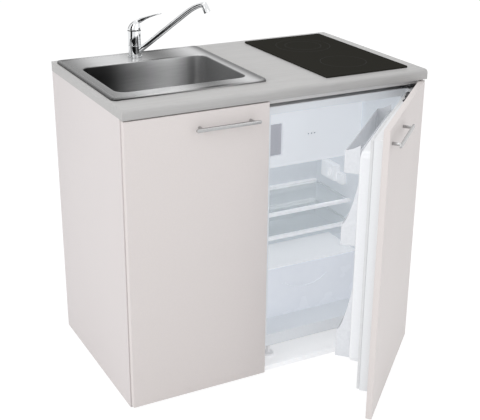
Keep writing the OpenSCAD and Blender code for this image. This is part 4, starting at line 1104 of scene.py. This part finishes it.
@dataclass
class Cabinet:
    """Worktop, boards, rails and the small fittings that join them.

    Attributes:
        shop: The workshop that seats pieces.
        board_ease_mm: Width of the boards' eased edges.
        hole_rows: Pin holes in a row.
        hole_pitch: Distance between them.
        hole_radius: Their radius.
        hole_middle: Height of a row's middle.
        hole_insets: How far the rows stand from the board's front and rear edges.
    """

    shop: Workshop
    board_ease_mm: float = 0.8
    hole_rows: int = 11
    hole_pitch: float = 0.032
    hole_radius: float = 2.5 * MM
    hole_middle: float = 0.44
    hole_insets: tuple[float, float] = (0.075, 0.060)

    def build(self) -> None:
        """Build the carcass."""
        boards = ("left_side_panel", "right_side_panel", "partition_panel")
        self.shop.refine_all([
            ("worktop", LAMINATE, 0.8, 2),
            *((node, BOARD, self.board_ease_mm, 2) for node in boards),
            ("base_board", BASE_BOARD, self.board_ease_mm, 2),
            ("back_panel", EDGE_BOARD, 0.5, 2), ("top_rails", EDGE_BOARD, 0.5, 2),
            ("corner_brackets", ZINC, 0.4, 2), ("hinge_arms", ZINC, 0.4, 2)])
        self.shop.dress(["bracket_screws"], ZINC)
        self.painted_pin_hole_shade()

    def painted_pin_hole_shade(self) -> None:
        """Lay the rows of shelf-pin holes on the cupboard's side walls as flat black discs:
        painted shade in place of drilled holes.
        """
        thin = 0.1 * MM
        tall = self.hole_pitch * (self.hole_rows - 1)
        front_inset, rear_inset = self.hole_insets
        for node, side, sign in (("left_side_panel", "left", 1.0),
                                 ("partition_panel", "partition", -1.0)):
            low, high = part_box(node)
            x = (high.x if sign > 0 else low.x) + sign * thin / 2
            for row, y in (("front", low.y + front_inset), ("rear", high.y - rear_inset)):
                place = facing((x, y, self.hole_middle), Vector((sign, 0, 0)))
                # BLACK here is painted shade of the holes, not a plastic part.
                PegGrid(f"pin_holes_{side}_{row}", BLACK, "root", place, width=0.0, height=tall,
                        columns=1, rows=self.hole_rows, radius=self.hole_radius, depth=thin,
                        taper=1.0, sides=16).build(self.shop)


@dataclass
class Doors:
    """The two furniture doors with their handles and hinge cups.

    Attributes:
        shop: The workshop that seats pieces.
        edge_mm: Width of the fronts' eased edges.
    """

    shop: Workshop
    edge_mm: float = 1.2

    def build(self) -> None:
        """Build both doors."""
        for side in ("left", "right"):
            self.shop.refine_all([(f"{side}_door_panel", DOOR_FRONT, self.edge_mm, 3),
                                  (f"{side}_door_handle", SATIN, 1.4, 3),
                                  (f"{side}_hinge_cups", ZINC, 0.25, 2)])


@dataclass
class Sink:
    """The pressed sink with its drain and trap.

    Attributes:
        shop: The workshop that seats pieces.
        sheet: Thickness of the sheet.
        lip: Width of the raised rim.
        lip_round: Radius of the rim's outer edge.
        lip_corner: Radius of the rim's corners.
        deck_drop: How far the deck lies below the rim.
        bowl_edge: Radius of the fold from the deck into the bowl.
        draft: How far the bowl's walls lean in.
        floor_radius: Radius of the fold from the walls into the floor.
        corner: Radius of the bowl's corners.
        floor_fall: How far the floor falls from its fold to the drain.
        drain_radius: Radius of the drain's opening.
        rim_gap: Height of the rim's foot above the worktop.
        seat_drop: How far the sheet lies below the top of the drain's flange.
    """

    shop: Workshop
    sheet: float = 0.9 * MM
    lip: float = 12.0 * MM
    lip_round: float = 2.0 * MM
    lip_corner: float = 16.0 * MM
    deck_drop: float = 1.5 * MM
    bowl_edge: float = 3.5 * MM
    draft: float = 4.0 * MM
    floor_radius: float = 26.0 * MM
    corner: float = 34.0 * MM
    floor_fall: float = 1.2 * MM
    drain_radius: float = 43.5 * MM
    rim_gap: float = 0.3 * MM
    seat_drop: float = 2.0 * MM

    def profile(self) -> list[list[Vector]]:
        """Return the sink's rings, from the outer skirt over the rim and down to the drain."""
        low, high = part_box("sink_bowl")
        x, y, top = (low.x, high.x), (low.y, high.y), high.z
        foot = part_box("worktop")[1].z + self.rim_gap
        deck = top - self.deck_drop
        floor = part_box("drain_flange")[1].z - self.seat_drop
        rings = []

        def rim(inset: float, z: float, r: float) -> None:
            """Add a ring set in from the rim's outline.

            Args:
                inset: How far in.
                z: Its height.
                r: Its corner radius.
            """
            rings.append(rounded_ring((x[0] + inset, x[1] - inset),
                                      (y[0] + inset, y[1] - inset), z, r))

        def bowl(inset: float, z: float, r: float) -> None:
            """Add a ring set in from the bowl's opening.

            Args:
                inset: How far in; below zero it lies outside.
                z: Its height.
                r: Its corner radius.
            """
            rings.append(rounded_ring((BOWL_X[0] + inset, BOWL_X[1] - inset),
                                      (BOWL_Y[0] + inset, BOWL_Y[1] - inset), z, r))

        skirt, over = 0.5 * MM, self.lip_round
        rim(0.0, foot, self.lip_corner)
        rim(skirt, top - over, self.lip_corner)
        for a in (30, 60, 90):
            a = math.radians(a)
            rim(skirt + over * (1 - math.cos(a)), top - over * (1 - math.sin(a)), self.lip_corner)
        # The rim's inner side steps down to the deck.
        for inset, z, r in ((-2.0, top, 11.0), (-0.6, top - 0.5 * MM, 11.0),
                            (0.8, deck + 0.2 * MM, 11.0), (2.4, deck, 10.0)):
            rim(self.lip + inset * MM, z, r * MM)
        edge = self.bowl_edge
        bowl(-edge - 3.0 * MM, deck, self.corner + edge)
        for a in (0, 18, 36, 54, 72, 88):
            a = math.radians(a)
            bowl(-edge * (1 - math.sin(a)), deck - edge * (1 - math.cos(a)),
                 self.corner + edge * (1 - math.sin(a)))
        wall_foot = floor + self.floor_radius
        bowl(self.draft / 2, (deck + wall_foot) / 2, self.corner)
        for a in range(0, 91, 10):
            a = math.radians(a)
            bowl(self.draft + self.floor_radius * (1 - math.cos(a)),
                 wall_foot - (self.floor_radius - self.floor_fall) * math.sin(a),
                 self.corner + 4.0 * MM)
        bowl(75.0 * MM, floor + 0.8 * MM, 55.0 * MM)
        centre = Vector((sum(BOWL_X) / 2, sum(BOWL_Y) / 2, floor))
        count = len(rings[0])
        turns = [2 * math.pi * (i + 0.5) / count for i in range(count)]
        for reach, z in ((60.0 * MM, 0.2 * MM), (50.0 * MM, 0.0),
                         (self.drain_radius, -0.4 * MM)):
            rings.append([centre + Vector((reach * math.cos(a), reach * math.sin(a), z))
                          for a in turns])
        return rings

    def pressing(self) -> None:
        """Build the pressed sheet."""
        bm = bmesh.new()
        loft(bm, self.profile())
        bmesh.ops.recalc_face_normals(bm, faces=bm.faces)
        if sum(f.normal.z * f.calc_area() for f in bm.faces) < 0:
            bmesh.ops.reverse_faces(bm, faces=bm.faces)
        holder = mesh_object("sink_sheet", bm)
        shade(holder.data, smooth=50.0)
        thick = holder.modifiers.new("sheet", "SOLIDIFY")
        thick.thickness = self.sheet
        thick.offset = -1.0
        finished = plain_mesh(holder, "pressed_sink")
        bpy.data.objects.remove(holder)
        self.shop.seat("pressed_sink", finished, SINK_STEEL, "root", ["sink_bowl"])

    def build(self) -> None:
        """Build the sink, the drain and the waste pipes."""
        self.pressing()
        self.shop.refine_all([
            ("drain_flange", SINK_STEEL, 0.6, 2), ("strainer_basket", SINK_STEEL, 0.3, 2),
            ("drain_body", PLUMBING, 0.8, 2), ("trap_body", PLUMBING, 0.8, 2),
            ("trap_cup", PLUMBING, 0.8, 2), ("sink_clips", ZINC, 0.5, 2)])
        self.shop.dress(["overflow_pipe"], PLUMBING)


@dataclass
class MixerTap:
    """The single-lever mixer tap. Places along the spout and lever are a reach from the tap's
    axis and a height.

    Attributes:
        shop: The workshop that seats pieces.
        foot: Where the axis stands.
        aim: Which way spout and lever point, in degrees.
        rise: Slope of the spout's straight run, in degrees.
        end_rise: Slope of the spout where it meets the nozzle, in degrees.
        dip: How far the outlet points down, in degrees.
        root_z: Height of the spout's centre line at the axis.
        straight: Length of the straight run.
        pulls: How far the bend keeps to each end's slope.
        pipe_end: Where the spout's pipe ends.
        tip: Where the outlet starts.
        tube_radius: The pipe's radius at its root.
        tube_taper: The share of it that is lost on the way.
        tube_sides: Sides round the pipe and the outlet's housing.
        nozzle_radius: Radius of the outlet's housing.
        nozzle_length: Its length.
        collar_z: Lower and upper end of the collar.
        collar_radius: The collar's radius.
        collar_bore: Radius of its bore.
        head_height: Height of the head.
        head_lean: How far the head's rear slopes in.
        head_front: How far its front slopes in.
        lever_z: Height of the lever's pivot.
        lever_slope: Slope of the blade's sections, in degrees.
        blade: Reach, lift, half width and half thickness of the blade's sections, the last three
            in millimetres.
        seam_radius: Radius of the dark joint under the head.
        seam_width: The joint's width.
        seam_z: Lower and upper end of the joint.
    """

    shop: Workshop
    foot: tuple[float, float] = (-0.2485, 0.228)
    aim: float = -45.0
    rise: float = 39.0
    end_rise: float = 12.0
    dip: float = 62.0
    root_z: float = 0.9415
    straight: float = 0.185
    pulls: tuple[float, float] = (0.046, 0.030)
    pipe_end: tuple[float, float] = (0.2290, 1.1120)
    tip: tuple[float, float] = (0.2344, 1.1068)
    tube_radius: float = 9.0 * MM
    tube_taper: float = 0.12
    tube_sides: int = 36
    nozzle_radius: float = 10.8 * MM
    nozzle_length: float = 14.0 * MM
    collar_z: tuple[float, float] = (0.9383, 0.9710)
    collar_radius: float = 21.0 * MM
    collar_bore: float = 13.5 * MM
    head_height: float = 31.5 * MM
    head_lean: float = 35.0 * MM
    head_front: float = 7.0 * MM
    lever_z: float = 1.042
    lever_slope: float = 20.0
    blade: tuple[tuple[float, float, float, float], ...] = (
        (-0.004, 0.0, 3.2, 3.0), (0.004, 0.8, 5.0, 5.2), (0.016, 4.8, 5.2, 6.6),
        (0.0225, 8.0, 7.0, 7.4), (0.031, 12.4, 8.0, 6.2), (0.044, 18.4, 7.6, 4.4),
        (0.060, 24.6, 7.0, 3.0), (0.076, 30.0, 6.4, 2.3), (0.090, 34.0, 5.8, 1.9),
        (0.0945, 35.0, 4.0, 1.3))
    seam_radius: float = 21.1 * MM
    seam_width: float = 3.0 * MM
    seam_z: tuple[float, float] = (1.0172, 1.0192)

    def point(self, reach: float, z: float, side: float = 0.0) -> Vector:
        """Return a place given from the tap's axis.

        Args:
            reach: How far out it lies.
            z: Its height.
            side: How far it lies off to one side.

        Returns:
            The place.
        """
        a = math.radians(self.aim)
        return Vector((self.foot[0] + reach * math.cos(a) - side * math.sin(a),
                       self.foot[1] + reach * math.sin(a) + side * math.cos(a), z))

    def centre_line(self) -> list[Vector]:
        """Return the spout's centre line: a straight run, then a bend towards the level."""
        up, level = math.radians(self.rise), math.radians(self.end_rise)
        start = (self.straight * math.cos(up), self.root_z + self.straight * math.sin(up))
        end = self.pipe_end
        out, back = self.pulls
        first = (start[0] + out * math.cos(up), start[1] + out * math.sin(up))
        second = (end[0] - back * math.cos(level), end[1] - back * math.sin(level))
        line = [self.point(start[0] * i / 4, self.root_z + (start[1] - self.root_z) * i / 4)
                for i in range(4)]
        for i in range(33):
            t = i / 32
            weights = ((1 - t) ** 3, 3 * t * (1 - t) ** 2, 3 * t * t * (1 - t), t ** 3)
            reach, z = (sum(w * p[k] for w, p in zip(weights, (start, first, second, end)))
                        for k in (0, 1))
            line.append(self.point(reach, z))
        return line

    def nozzle(self) -> bmesh.types.BMesh:
        """Return the short round housing that holds the outlet at the spout's end."""
        dip = math.radians(self.dip)
        start = self.point(*self.tip)
        behind = self.point(self.tip[0] - math.cos(dip), self.tip[1] + math.sin(dip))
        back = (behind - start).normalized()
        steps, straight, round_over = 12, 0.55, 1.25
        line = [start + back * (self.nozzle_length * i / steps) for i in range(steps + 1)]

        def radius(share: float) -> float:
            """Give the housing's radius: straight, then rounded over at its closed end.

            Args:
                share: The share of the way.

            Returns:
                The radius.
            """
            over = max(0.0, share - straight) / (1 - straight)
            return self.nozzle_radius * math.cos(over * round_over)

        return tube(line, radius, self.tube_sides)

    def spout(self) -> None:
        """Build the collar and the bent tube that turns with it."""
        low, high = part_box("tap_body")
        (foot, top), outer, inner = self.collar_z, self.collar_radius, self.collar_bore
        ease = 0.7 * MM
        collar = lathe([(inner, foot), (outer - ease, foot), (outer, foot + ease),
                        (outer, top - ease), (outer - ease, top), (inner, top)],
                       *self.foot, hollow=True)
        pipe = tube(self.centre_line(),
                    lambda share: self.tube_radius * (1 - self.tube_taper * share),
                    self.tube_sides)
        bore = inner - 0.2 * MM
        core = lathe([(bore, low.z), (bore, high.z)], *self.foot)
        body = mesh_object("pipe", pipe)
        others = [mesh_object("nozzle", self.nozzle()), mesh_object("core", core),
                  mesh_object("collar", collar)]
        for operation, other in zip(("UNION", "DIFFERENCE", "UNION"), others):
            step = body.modifiers.new(operation, "BOOLEAN")
            step.operation = operation
            step.object = other
        finished = plain_mesh(body, "spout_tube")
        for holder in (body, *others):
            bpy.data.objects.remove(holder)
        shade(finished, smooth=40.0)
        self.shop.seat("spout_tube", finished, CHROME, "spout", ["tap_spout"])

    def head(self) -> None:
        """Build the head: a dome that leans over towards the lever."""
        foot, wide, ease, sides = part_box("tap_head")[0].z, self.collar_radius, 0.5 * MM, 48
        steps, step_angle, curve = 24, 3.6, 0.85
        turns = [2 * math.pi * i / sides for i in range(sides)]

        def ring(middle: float, r: float, z: float) -> list[Vector]:
            """Return one level ring of the dome.

            Args:
                middle: The reach of its centre.
                r: Its radius.
                z: Its height.

            Returns:
                Its points.
            """
            return [self.point(middle + r * math.cos(b), z, r * math.sin(b)) for b in turns]

        rings = [ring(0.0, wide - ease, foot), ring(0.0, wide, foot + ease)]
        for step in range(1, steps + 1):
            a = math.radians(step * step_angle)
            rear = -wide + self.head_lean * (1 - math.cos(a)) ** curve
            front = wide - self.head_front * (1 - math.cos(a))
            rings.append(ring((rear + front) / 2, (front - rear) / 2,
                              foot + ease + self.head_height * math.sin(a)))
        bm = bmesh.new()
        loft(bm, rings)
        cap_ends(bm, sides)
        self.shop.add("leaning_head", bm, CHROME, self.shop.body_of["tap_head"], ["tap_head"],
                      smooth=50.0)

    def lever(self) -> None:
        """Build the blade, thick at the head and thin at its raised tip."""
        sides, squareness, slope = 24, 0.7, math.radians(self.lever_slope)

        def squared(value: float) -> float:
            """Push a sine or cosine outwards, so that a section is nearly a rounded box.

            Args:
                value: The sine or cosine.

            Returns:
                The pushed value.
            """
            return math.copysign(abs(value) ** squareness, value)

        rows = []
        for reach, lift, wide, thick in self.blade:
            row = []
            for i in range(sides):
                a = 2 * math.pi * i / sides
                across = squared(math.cos(a)) * wide * MM
                along = squared(math.sin(a)) * thick * MM
                row.append(self.point(reach - along * math.sin(slope),
                                      self.lever_z + lift * MM + along * math.cos(slope), across))
            rows.append(row)
        bm = bmesh.new()
        loft(bm, rows)
        cap_ends(bm, sides)
        self.shop.add("lever_blade", bm, CHROME, "mixer_lever", ["tap_lever"], smooth=60.0)

    def seam(self) -> None:
        """Lay the dark ring in the joint under the head."""
        (foot, top), outer = self.seam_z, self.seam_radius
        inner = outer - self.seam_width
        ring = lathe([(inner, foot), (outer, foot), (outer, top), (inner, top)],
                     *self.foot, hollow=True)
        self.shop.add("head_seam", ring, SEAL, "root")

    def build(self) -> None:
        """Build the tap from its foot to its outlet."""
        self.shop.refine("tap_body", CHROME, 0.6, 3)
        self.spout()
        self.shop.refine("tap_aerator", CHROME, 0.8, 3)
        self.head()
        self.lever()
        self.seam()
        self.shop.dress(["tap_cartridge"], CERAMIC)
        self.shop.refine("tap_nut", BRASS, 0.5)
        self.shop.dress(["tap_supply_pipes"], COPPER)


@dataclass
class Hob:
    """The two-zone glass hob.

    Attributes:
        shop: The workshop that seats pieces.
    """

    shop: Workshop

    def build(self) -> None:
        """Build the glass and what hangs under it."""
        self.shop.refine_all([("hob_glass", HOB_BLACK, 1.2, 4), ("hob_casing", ZINC, 0.5, 2),
                              ("hob_clamps", ZINC, 0.5, 2), ("hob_terminal_box", BLACK, 0.8, 2)])
        self.shop.dress(["hob_seal"], SEAL)
        self.shop.dress(["hob_heaters"], HEATER)


@dataclass
class Refrigerator:
    """The built-in refrigerator: case, liner, shelves, freezer and machinery.

    Attributes:
        shop: The workshop that seats pieces.
        dots: Reach across and height of the flap's three dots.
        dot_span: Distance from the first dot to the last.
        dot_radius: A dot's radius.
        panel_x: Left and right edge of the grey panel in the flap's recess.
        panel_z: Its lower and upper edge.
        panel_y: Depth of its faces behind the flap's front.
        wire_pitch: Distance between the condenser's wires.
        wire_radius: A wire's radius.
        grip_half: Half the width of the crisper's grip.
        grip_drop: How far its ends lie below the crisper's top.
        grip_sag: How far its middle hangs below its ends.
        grip_radius: Its thickness, as a radius.
        grip_proud: How far its middle line stands out from the front.
        front_lean: How far the crisper's front leans over its height.
        case_links: Height and corner points of the links that stay with the case.
    """

    shop: Workshop
    dots: tuple[float, float] = (0.246, 0.689)
    dot_span: float = 24.0 * MM
    dot_radius: float = 2.1 * MM
    panel_x: tuple[float, float] = (0.0635, 0.1375)
    panel_z: tuple[float, float] = (0.6305, 0.7375)
    panel_y: tuple[float, float] = (7.6 * MM, 8.8 * MM)
    wire_pitch: float = 9.4 * MM
    wire_radius: float = 0.7 * MM
    grip_half: float = 85.0 * MM
    grip_drop: float = 52.0 * MM
    grip_sag: float = 30.0 * MM
    grip_radius: float = 2.6 * MM
    grip_proud: float = 0.4 * MM
    front_lean: float = 12.0 * MM
    case_links: tuple[tuple[float, tuple[tuple[float, float], ...]], ...] = (
        (0.8655, ((0.4815, -0.250), (0.462, -0.262), (0.448, -0.252))),
        (0.8710, ((0.4815, -0.262), (0.466, -0.274), (0.452, -0.268))),
        (0.8765, ((0.4815, -0.256), (0.470, -0.268), (0.456, -0.2725))))

    def build(self) -> None:
        """Build the refrigerator without its door."""
        self.shop.dress(["fridge_foam"], FOAM)
        self.shop.refine_all([
            ("fridge_case", SKIN, 0.6, 2), ("fridge_liner", INNER_LINER, 0.9, 3),
            ("freezer_box", LINER, 1.2, 3), ("freezer_flap", LINER, 2.0, 4),
            ("shelf_glass", PANE, 0.5, 2), ("shelf_trims", TRIM, 1.6, 3),
            ("crisper_cover", TRIM, 0.9, 3), ("crisper_drawer", CRISPER, 1.0, 3),
            ("thermostat_housing", TRIM, 1.5, 3), ("thermostat_knob", TRIM, 0.8, 3),
            ("compressor", POT_BLACK, 1.5, 3), ("condenser", POT_BLACK, 0.3, 1),
            ("fridge_supports", FOOT_PALE, 0.8, 2)])
        self.flap_dots()
        self.flap_grip()
        links = link_stack(self.case_links, half=4.2 * MM, thick=3.0 * MM, pin=3.0 * MM,
                           pin_lift=1.5 * MM, pins_from=1)
        self.shop.add("hinge_links", links, HINGE_DARK, "root")
        self.condenser_wires()
        self.crisper_grip()

    def flap_dots(self) -> None:
        """Set three small raised dots on the freezer's flap."""
        low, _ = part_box("freezer_flap")
        x, z = self.dots
        place = facing((x, low.y - 0.1 * MM, z), Vector((0, -1, 0)))
        PegGrid("flap_dots", BLACK, "flap", place, width=self.dot_span, height=0.0, columns=3,
                rows=1, radius=self.dot_radius, depth=0.5 * MM, taper=0.7).build(self.shop)

    def flap_grip(self) -> None:
        """Line the flap's finger recess with its grey panel."""
        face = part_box("freezer_flap")[0].y
        low, high = zip(self.panel_x, (face + self.panel_y[0], face + self.panel_y[1]),
                        self.panel_z)
        bm = bmesh.new()
        box_mesh(bm, low, high)
        bmesh.ops.bevel(bm, geom=bm.edges, offset=0.4 * MM, segments=2, affect="EDGES")
        self.shop.add("flap_grip_panel", bm, GRIP_GREY, "flap")

    def condenser_wires(self) -> None:
        """Lay the upright wires across the condenser's tube."""
        low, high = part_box("condenser")
        side_margin, end_margin = 15.0 * MM, 10.0 * MM
        wide = high.x - low.x - 2 * side_margin
        tall = high.z - low.z - 2 * end_margin
        place = facing(((low.x + high.x) / 2, high.y + 0.1 * MM, low.z + end_margin),
                       Vector((0, 0, 1)), Vector((0, 1, 0)))
        PegGrid("condenser_wires", POT_BLACK, "root", place, width=wide, height=0.0,
                columns=int(wide / self.wire_pitch), rows=1, radius=self.wire_radius,
                depth=tall, taper=1.0, sides=6).build(self.shop)

    def crisper_grip(self) -> None:
        """Lay the curved grip on the crisper's leaning front."""
        low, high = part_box("crisper_drawer")
        mid_x = (low.x + high.x) / 2
        slope = self.front_lean / (high.z - low.z)
        points = []
        steps = 24
        for i in range(steps + 1):
            t = i / steps * 2 - 1
            z = high.z - self.grip_drop - self.grip_sag * (1 - t * t)
            points.append(Vector((mid_x + self.grip_half * t,
                                  low.y + slope * (z - low.z) - self.grip_proud, z)))
        grip = tube(points, lambda share: self.grip_radius)
        self.shop.add("crisper_grip", grip, CRISPER, "crisper")


@dataclass
class RefrigeratorDoor:
    """The refrigerator's door behind the wide furniture door. Its places are given for the shut
    door and turned to where it stands at rest.

    Attributes:
        shop: The workshop that seats pieces.
        pivot: Where the hinge's axis stands.
        open_by: How far the door is open at rest, in degrees.
        panel_y: Depth of the inner panel's flange and of its raised part.
        flange: Limits of the flange, across and up.
        raised: Limits of the raised part, across and up.
        fillet: Radius of the raised part's edge.
        cove: Radius at its foot.
        draft: How far its sides lean in.
        foam: Lowest and highest corner of each block of foam.
        bin_y: Depth of the bins' front wall and of the panel behind them.
        bin_x: Outer faces of the bins' end walls.
        wall: Thickness of the end walls.
        cheeks: Foot, front lip and top of each bin's end walls.
        sweep: How late the end walls rise towards the door.
        ribs: Ribs on each bin.
        rib_span: Distance from the first rib to the last.
        rib_middle: Where the row of ribs has its middle.
        rib_radius: A rib's radius.
        rib_proud: How far a rib's middle line stands off the bins' front wall.
        rib_margin: How far the ribs end inside the front wall's edges.
        door_links: Height and corner points of the links that ride on the door.
    """

    shop: Workshop
    pivot: tuple[float, float] = (0.494, -0.298)
    open_by: float = 43.3
    panel_y: tuple[float, float] = (-0.2542, -0.2112)
    flange: tuple[tuple[float, float], ...] = ((-0.0355, 0.4615), (0.0925, 0.8615))
    raised: tuple[tuple[float, float], ...] = ((-0.0095, 0.440), (0.160, 0.815))
    fillet: float = 9.0 * MM
    cove: float = 4.0 * MM
    draft: float = 2.0 * MM
    foam: tuple[tuple[Point, Point], ...] = (
        ((-0.0345, -0.2785, 0.0935), (0.4605, -0.2560, 0.8605)),
        ((0.006, -0.2556, 0.176), (0.4245, -0.222, 0.799)))
    bin_y: tuple[float, float] = (-0.1685, -0.2105)
    bin_x: tuple[float, float] = (0.0028, 0.4297)
    wall: float = 2.4 * MM
    cheeks: tuple[tuple[float, float, float], ...] = (
        (0.745, 0.810, 0.828), (0.530, 0.592, 0.717), (0.172, 0.257, 0.402))
    sweep: float = 1.7
    ribs: int = 34
    rib_span: float = 0.396
    rib_middle: float = 0.216
    rib_radius: float = 1.1 * MM
    rib_proud: float = 0.6 * MM
    rib_margin: float = 4.0 * MM
    door_links: tuple[tuple[float, tuple[tuple[float, float], ...]], ...] = (
        (0.8624, ((0.430, -0.262), (0.392, -0.270), (0.352, -0.262))),
        (0.8668, ((0.424, -0.268), (0.388, -0.262), (0.356, -0.270))),
        (0.8712, ((0.414, -0.262), (0.372, -0.267))))

    def place(self) -> Matrix:
        """Return the turn from the shut door's place to its place at rest."""
        about = Vector((*self.pivot, 0.0))
        return (Matrix.Translation(about) @ Matrix.Rotation(math.radians(self.open_by), 4, "Z")
                @ Matrix.Translation(-about))

    def hang(self, name: str, bm: bmesh.types.BMesh, finish: Finish,
             replaces: Sequence[str] = (), smooth: float = 35.0) -> None:
        """Turn a piece of the shut door to its place at rest and seat it.

        Args:
            name: The piece's name.
            bm: The mesh; it is freed.
            finish: The piece's finish.
            replaces: Frame nodes that the piece stands for.
            smooth: Edges sharper than this many degrees stay sharp.
        """
        bm.transform(self.place())
        self.shop.add(name, bm, finish, "right_door", replaces, smooth)

    def inner_panel(self) -> None:
        """Build the moulded inner panel: a flange with one raised, round-edged part."""
        flat, top = self.panel_y
        rings = []

        def ring(limits: tuple, inset: float, y: float, r: float) -> None:
            """Add one ring.

            Args:
                limits: Its limits across and up.
                inset: How far it is set in from them.
                y: Its depth.
                r: Its corner radius.
            """
            (x0, x1), (z0, z1) = limits
            level = rounded_ring((x0 + inset, x1 - inset), (z0 + inset, z1 - inset), 0.0, r)
            rings.append([Vector((p.x, y, p.y)) for p in level])

        thin, flange_corner = 0.3 * MM, 4.0 * MM
        ring(self.flange, 0.0, flat - thin, flange_corner)
        ring(self.flange, 0.0, flat, flange_corner)
        ring(self.raised, -self.cove, flat, 24.0 * MM)
        for a in (30, 60, 90):
            a = math.radians(a)
            ring(self.raised, -self.cove * (1 - math.sin(a)),
                 flat + self.cove * (1 - math.cos(a)), 22.0 * MM)
        for a in range(0, 91, 10):
            a = math.radians(a)
            ring(self.raised, self.draft + self.fillet * (1 - math.cos(a)),
                 top - self.fillet * (1 - math.sin(a)), 20.0 * MM)
        bm = bmesh.new()
        loft(bm, rings)
        cap_ends(bm, len(rings[0]))
        self.hang("door_inner_panel", bm, DOOR_LINER, ["fridge_door_liner"], smooth=45.0)

    def foam_core(self) -> None:
        """Build the insulation inside the shell and the raised part."""
        bm = bmesh.new()
        for low, high in self.foam:
            box_mesh(bm, low, high)
        self.hang("door_foam_core", bm, FOAM, ["fridge_door_foam"])

    def bin_cheeks(self) -> None:
        """Build the end walls that sweep from each bin's front lip up to the door."""
        bm = bmesh.new()
        near, far = self.bin_y
        steps = 12
        for low, lip, tall in self.cheeks:
            foot = low + 1 * MM
            outline = [(near, foot), (near, lip)]
            for share in (i / steps for i in range(1, steps + 1)):
                outline.append((near + (far - near) * share,
                                lip + (tall - lip) * share ** self.sweep))
            outline.append((far, foot))
            for x in (self.bin_x[0], self.bin_x[1] - self.wall):
                extruded(bm, [Vector((x, y, z)) for y, z in outline], Vector((self.wall, 0, 0)))
        bmesh.ops.recalc_face_normals(bm, faces=bm.faces)
        self.hang("bin_cheeks", bm, FROSTED)

    def bin_ribs(self) -> None:
        """Set the upright ribs along the front wall of each bin."""
        margin = self.rib_margin
        for name, (low, lip, _) in zip(("upper", "middle", "rack"), self.cheeks):
            upright = facing((self.rib_middle, self.bin_y[0] + self.rib_proud, low + margin),
                             Vector((0, 0, 1)), Vector((0, 1, 0)))
            PegGrid(f"{name}_bin_ribs", FROSTED, "right_door", self.place() @ upright,
                    width=self.rib_span, height=0.0, columns=self.ribs, rows=1,
                    radius=self.rib_radius, depth=lip - low - 2 * margin, taper=1.0,
                    sides=8).build(self.shop)

    def build(self) -> None:
        """Build the door, its gasket and its bins."""
        links = link_stack(self.door_links, half=5.5 * MM, thick=3.2 * MM, pin=3.4 * MM,
                           pin_lift=2.4 * MM, pins_from=0)
        self.hang("door_hinge_links", links, HINGE_DARK)
        self.shop.refine("fridge_door_shell", SKIN, 1.2, 3)
        self.foam_core()
        self.inner_panel()
        self.shop.refine_all([
            ("fridge_door_gasket", GASKET, 2.5, 3), ("upper_door_bin", FROSTED, 1.0, 3),
            ("middle_door_bin", FROSTED, 1.0, 3), ("bottle_rack", FROSTED, 1.0, 3)])
        self.bin_cheeks()
        self.bin_ribs()
        self.shop.refine("fridge_door_hinges", HINGE_DARK, 1.0, 2)


def main() -> None:
    """Build every sub-assembly in order and report the pieces."""
    logging.basicConfig(level=logging.INFO, format="%(name)s: %(message)s")
    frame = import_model()
    shop = Workshop(frame)
    Studio().build()
    for assembly in (Cabinet(shop), Doors(shop), Sink(shop), MixerTap(shop), Hob(shop),
                     Refrigerator(shop), RefrigeratorDoor(shop)):
        assembly.build()
    LOG.info("%d pieces made", shop.made)


if __name__ == "__main__":
    main()
